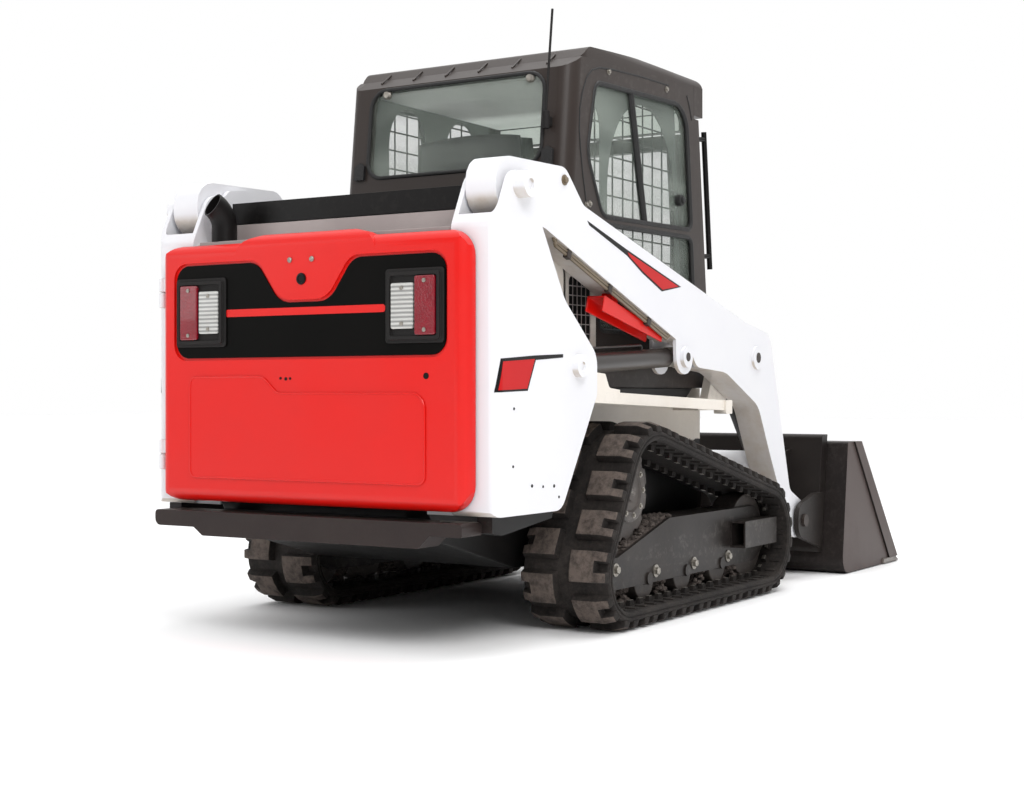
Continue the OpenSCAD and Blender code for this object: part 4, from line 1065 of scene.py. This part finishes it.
pad = cushion("seat_cushion", (0.46, 0.48, 0.10), -3, at(1145, 1046, 0), (-0.35, 0.35))
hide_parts("seat")
cushion("seat_backrest", (0.43, 0.49, 0.095), 89.5, at(942, 1345, 0), (-0.5, 0.0, 0.5))
form = bmesh.new()
add_side_plate(form, rounded([(935, 760, 5), (1325, 760, 5), (1325, 985, 25), (935, 985, 25)]), -0.225, 0.225)
add_side_plate(form, rounded([(905, 986, 8), (1380, 986, 8), (1380, 1000, 5), (905, 1000, 5)]), -0.215, 0.215)
new_piece("seat_box", form, console, "chassis", 0.004)
finish_node("controls", console, 0.004)

# Grab bars, aerial and work lamps, screwed to the cab's outside: bent black bar, a whip on a rubber
# foot and ribbed clear lenses. The tail lamps on the gate use the same lenses and a red one.
finish_node("grab_bars", black_sheet, 0)
finish_node("antenna", console, 0.001)
white_lens, tree, shader = flecked("white_lens", 20.0, (206, 206, 202), (186, 186, 182), 0.3)
shader["Coat Weight"].default_value = 0.5
ripple = lay(tree, "ShaderNodeTexWave", Scale=26.0, bands_direction="Z").outputs[1]
coat(white_lens, ripple, (128, 128, 126))
bump(tree, shader, ripple, 0.002, 0.6)
red_lens, tree, shader = flecked("red_lens", 30.0, (136, 14, 32), (104, 8, 24), 0.14)
shader["Coat Weight"].default_value = 0.6
facets = lay(tree, "ShaderNodeTexVoronoi", Scale=160.0, distance="CHEBYCHEV")
bump(tree, shader, facets.outputs["Distance"], 0.0015, 0.5)
finish_node("work_lamps", white_lens, 0.004)

# Tailgate: a pressed steel shell in orange-red gloss, hinged on the left by white straps, with a black
# band and a pinstripe between two tail lamps, a lock in the tongue above it and screws in the lenses.
orange = paint("orange_paint", (211, 15, 7), (208, 14, 6), 0.33,
               dust=0.02, dust_high=0.6, wear=0.0, shine=0.4)
band_black = paint("band_black", (7, 7, 6), (10, 9, 8), 0.4, dust=0.01, wear=0.0, shine=0.06)
finish_node("tailgate", orange, 0.006, 3)
finish_node("gate_hinges", white)
finish_node("gate_straps", white)
finish_node("gate_band", band_black, 0.001)
finish_node("lamp_housings", console, 0.002)
finish_node("red_lenses", red_lens, 0.003)
finish_node("white_lenses", white_lens, 0.003)
backward = (-1, 0, 0)
gate_face = rear + 0.020
bead_x = gate_face - 0.0025
band_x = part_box("gate_band")[0].x
stripe_line = rounded([(-292, 953, 9), (300, 953, 9), (300, 975, 9), (-292, 975, 9)])
panel_line = rounded([(-430, 472, 22), (436, 472, 22), (436, 774, 22), (152, 774, 40), (96, 725, 40),
                      (-430, 725, 45)])
lock_ring = [(0, 0), (0.017, 0), (0.017, 0.003), (0.012, 0.004), (0.011, 0.002), (0, 0.002)]
gate_screw = [(0, 0), (0.008, 0), (0.008, 0.003), (0.005, 0.006), (0, 0.006)]
lens_screw = [(0, 0), (0.006, 0), (0.006, 0.002), (0.003, 0.003), (0, 0.003)]
gate_hole_shade = [(84, 769, 4), (64, 767, 5), (48, 768, 4), (-434, 773, 9)]
form = bmesh.new()
add_prism(form, [(band_x - 0.001, y / 1000, z / 1000) for y, z in stripe_line],
          [(band_x, y / 1000, z / 1000) for y, z in stripe_line])
new_piece("gate_pinstripe", form, orange, "tailgate_body")
form = bmesh.new()
add_tube(form, [(bead_x, y / 1000, z / 1000) for y, z in panel_line], 0.0028, 8, True)
new_piece("gate_panel_bead", form, orange, "tailgate_body", 0)
form = bmesh.new()
add_turned(form, (gate_face, 0.006, 1.057), backward, lock_ring)
# Painted shade: black discs in the mouths of the gate's small open holes.
for y, z, radius in gate_hole_shade:
    add_disc(form, (gate_face, y / 1000, z / 1000), backward, radius / 1000)
new_piece("gate_lock", form, black_vinyl, "tailgate_body")
form = bmesh.new()
for y in (0.049, -0.033):
    add_turned(form, (gate_face, y, 1.113), backward, gate_screw)
for sign in (1, -1):
    for part, y in (("red_lenses", 0.436), ("white_lenses", 0.358)):
        low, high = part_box(part)
        for z in (low.z + 0.014, high.z - 0.014):
            add_turned(form, (low.x, sign * y, z), backward, lens_screw)
new_piece("gate_screws", form, zinc, "tailgate_body")

# Lift arms: welded white box sections with a cross tube, a black and red vinyl wedge on each side,
# an orange-red support channel under the right arm, and two clamped oil tubes below each arm.
for part in ("arm_left", "arm_right", "cross_tube"):
    finish_node(part, white, 0.006, 3)
finish_node("arm_support", orange, 0.002)
arm_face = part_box("cross_tube")[1].y + 0.1
wedge_back = [(632, 1247), (880, 1181), (1278, 1083), (1134, 1060), (995, 1111), (888, 1160), (644, 1234)]
wedge = [(892, 1171), (1256, 1083), (1138, 1066), (998, 1117), (904, 1159)]
under_from, under_to = Vector((382, 1203)), Vector((1240, 906))
under_along = (under_to - under_from).normalized()
under_down = Vector((under_along.y, -under_along.x))
tube_paint = paint("tube_paint", (96, 84, 66), (112, 98, 78), 0.35, dust=0.1, dust_high=1.3, wear=0.1)
tube_start, tube_end = 70, 872
tube_y = arm_face - 0.010
clamps_at = (150, 420, 700)
boss_shade_and_caps = [(1305, 848, 14, 0.015, 0.0015), (1910, 857, 10, 0.019, 0.0015), (2320, 230, 26.3, 0.0245, 0.0092)]


def below_arm(distance, drop, y):
    """Point below an arm's sloping underside, in millimetres along it and down from it."""
    flat_point = under_from + under_along * distance + under_down * drop
    return at(flat_point.x, flat_point.y, y)


for name, sign in both_sides:
    outward = (0, sign, 0)
    face = sign * arm_face
    form = bmesh.new()
    add_side_plate(form, wedge_back, face, face + sign * film_thick)
    new_piece(f"arm_stripe_edge_{name}", form, black_vinyl, "lift_arm")
    form = bmesh.new()
    add_side_plate(form, wedge, face + sign * film_thick, face + sign * 2 * film_thick)
    new_piece(f"arm_stripe_{name}", form, red_vinyl, "lift_arm")
    form = bmesh.new()
    for n in range(2):
        drop = 7 + 11 * n
        start, end = tube_start + 12 * n, tube_end - 12 * n
        route = [(start, -4), (start, drop - 4), (start + 4, drop)]
        route += [(end - 4, drop), (end, drop - 4), (end, -4)]
        add_tube(form, [below_arm(d, h, sign * tube_y) for d, h in route], 0.005, 10)
    new_piece(f"arm_tubes_{name}", form, tube_paint, "lift_arm", 0)
    form = bmesh.new()
    for distance in clamps_at:
        corners = [(distance, -1), (distance + 24, -1), (distance + 24, 26), (distance, 26)]
        add_prism(form, [below_arm(d, h, sign * (tube_y - 0.009)) for d, h in corners],
                  [below_arm(d, h, sign * (tube_y + 0.0075)) for d, h in corners])
    new_piece(f"arm_clamps_{name}", form, charcoal, "lift_arm", 0.002)
    # Thin discs on the lift-eye and tilt bosses: painted shade for recesses; the thick disc caps the tool
    # pin.
    form = bmesh.new()
    for station, height, out, radius, thick in boss_shade_and_caps:
        add_disc(form, at(station, height, sign * (arm_face + out / 1000)), outward, radius, thick)
    new_piece(f"arm_boss_shade_and_caps_{name}", form, charcoal, "lift_arm")
    form = bmesh.new()
    add_bolt(form, at(493, 1354, face), outward, 0.010)
    new_piece(f"arm_plug_{name}", form, tube_paint, "lift_arm")

# Tool carrier and bucket: thick plate in dark paint, painted paler on the bucket's side faces, hung on
# the arm's lower pins, with a bare and worn cutting edge bolted below the bucket's lip.
carrier_paint = paint("carrier_paint", (30, 26, 25), (35, 31, 29), 0.4,
                      dust=0.06, dust_high=0.6, wear=0.1, shine=0.2)
bucket_paint = paint("bucket_paint", (30, 26, 25), (36, 31, 30), 0.45,
                     dust=0.06, dust_high=0.7, wear=0.08, shine=0.18)
edge_steel = paint("edge_steel", (104, 97, 91), (86, 80, 75), 0.4,
                   dust=0.25, dust_high=0.2, wear=0.6, bare=scuffed_steel)
tree = bucket_paint.node_tree
sideways = calc(tree, "ABSOLUTE", axis_of(tree, "Normal", "Y"))
# Faces turned to the sides are painted a paler brown-grey than the rest of the bucket.
coat(bucket_paint, span(tree, sideways, 0.8, 0.95), (76, 65, 62))
finish_node("tool_carrier", carrier_paint, 0.004, 3)
finish_node("bucket", bucket_paint, 0.003)
finish_node("cutting_edge", edge_steel, 0.002)

# Lift and tilt cylinders: painted barrels with hard-chromed rods, and a thin oil line along each lift
# barrel, brazed into its ends.
chrome, tree, shader = flecked("rod_chrome", 40.0, (214, 214, 214), (190, 190, 190), (0.12, 0.24), 220.0)
shader["Metallic"].default_value = 1.0
barrel_paint = paint("barrel_paint", (40, 34, 32), (46, 40, 37), 0.33, dust=0.1, wear=0.2)
line_base, line_eye = Vector((520, 806)), Vector((1305, 848))
line_along = (line_eye - line_base).normalized()
line_up = Vector((-line_along.y, line_along.x))
oil_line = [(70, 20), (70, 40), (78, 46), (560, 46), (568, 40), (568, 20)]
for name, sign in both_sides:
    for part in ("lift", "tilt"):
        finish_node(f"{part}_barrel_{name}", barrel_paint, 0.002)
        finish_node(f"{part}_rod_{name}", chrome, 0.001)
    barrel_low, barrel_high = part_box(f"lift_barrel_{name}")
    middle = (barrel_low.y + barrel_high.y) / 2
    points = [line_base + line_along * d + line_up * h for d, h in oil_line]
    form = bmesh.new()
    add_tube(form, [at(p.x, p.y, middle) for p in points], 0.0045, 10)
    new_piece(f"lift_line_{name}", form, barrel_paint, f"lift_barrel_{name}", 0)
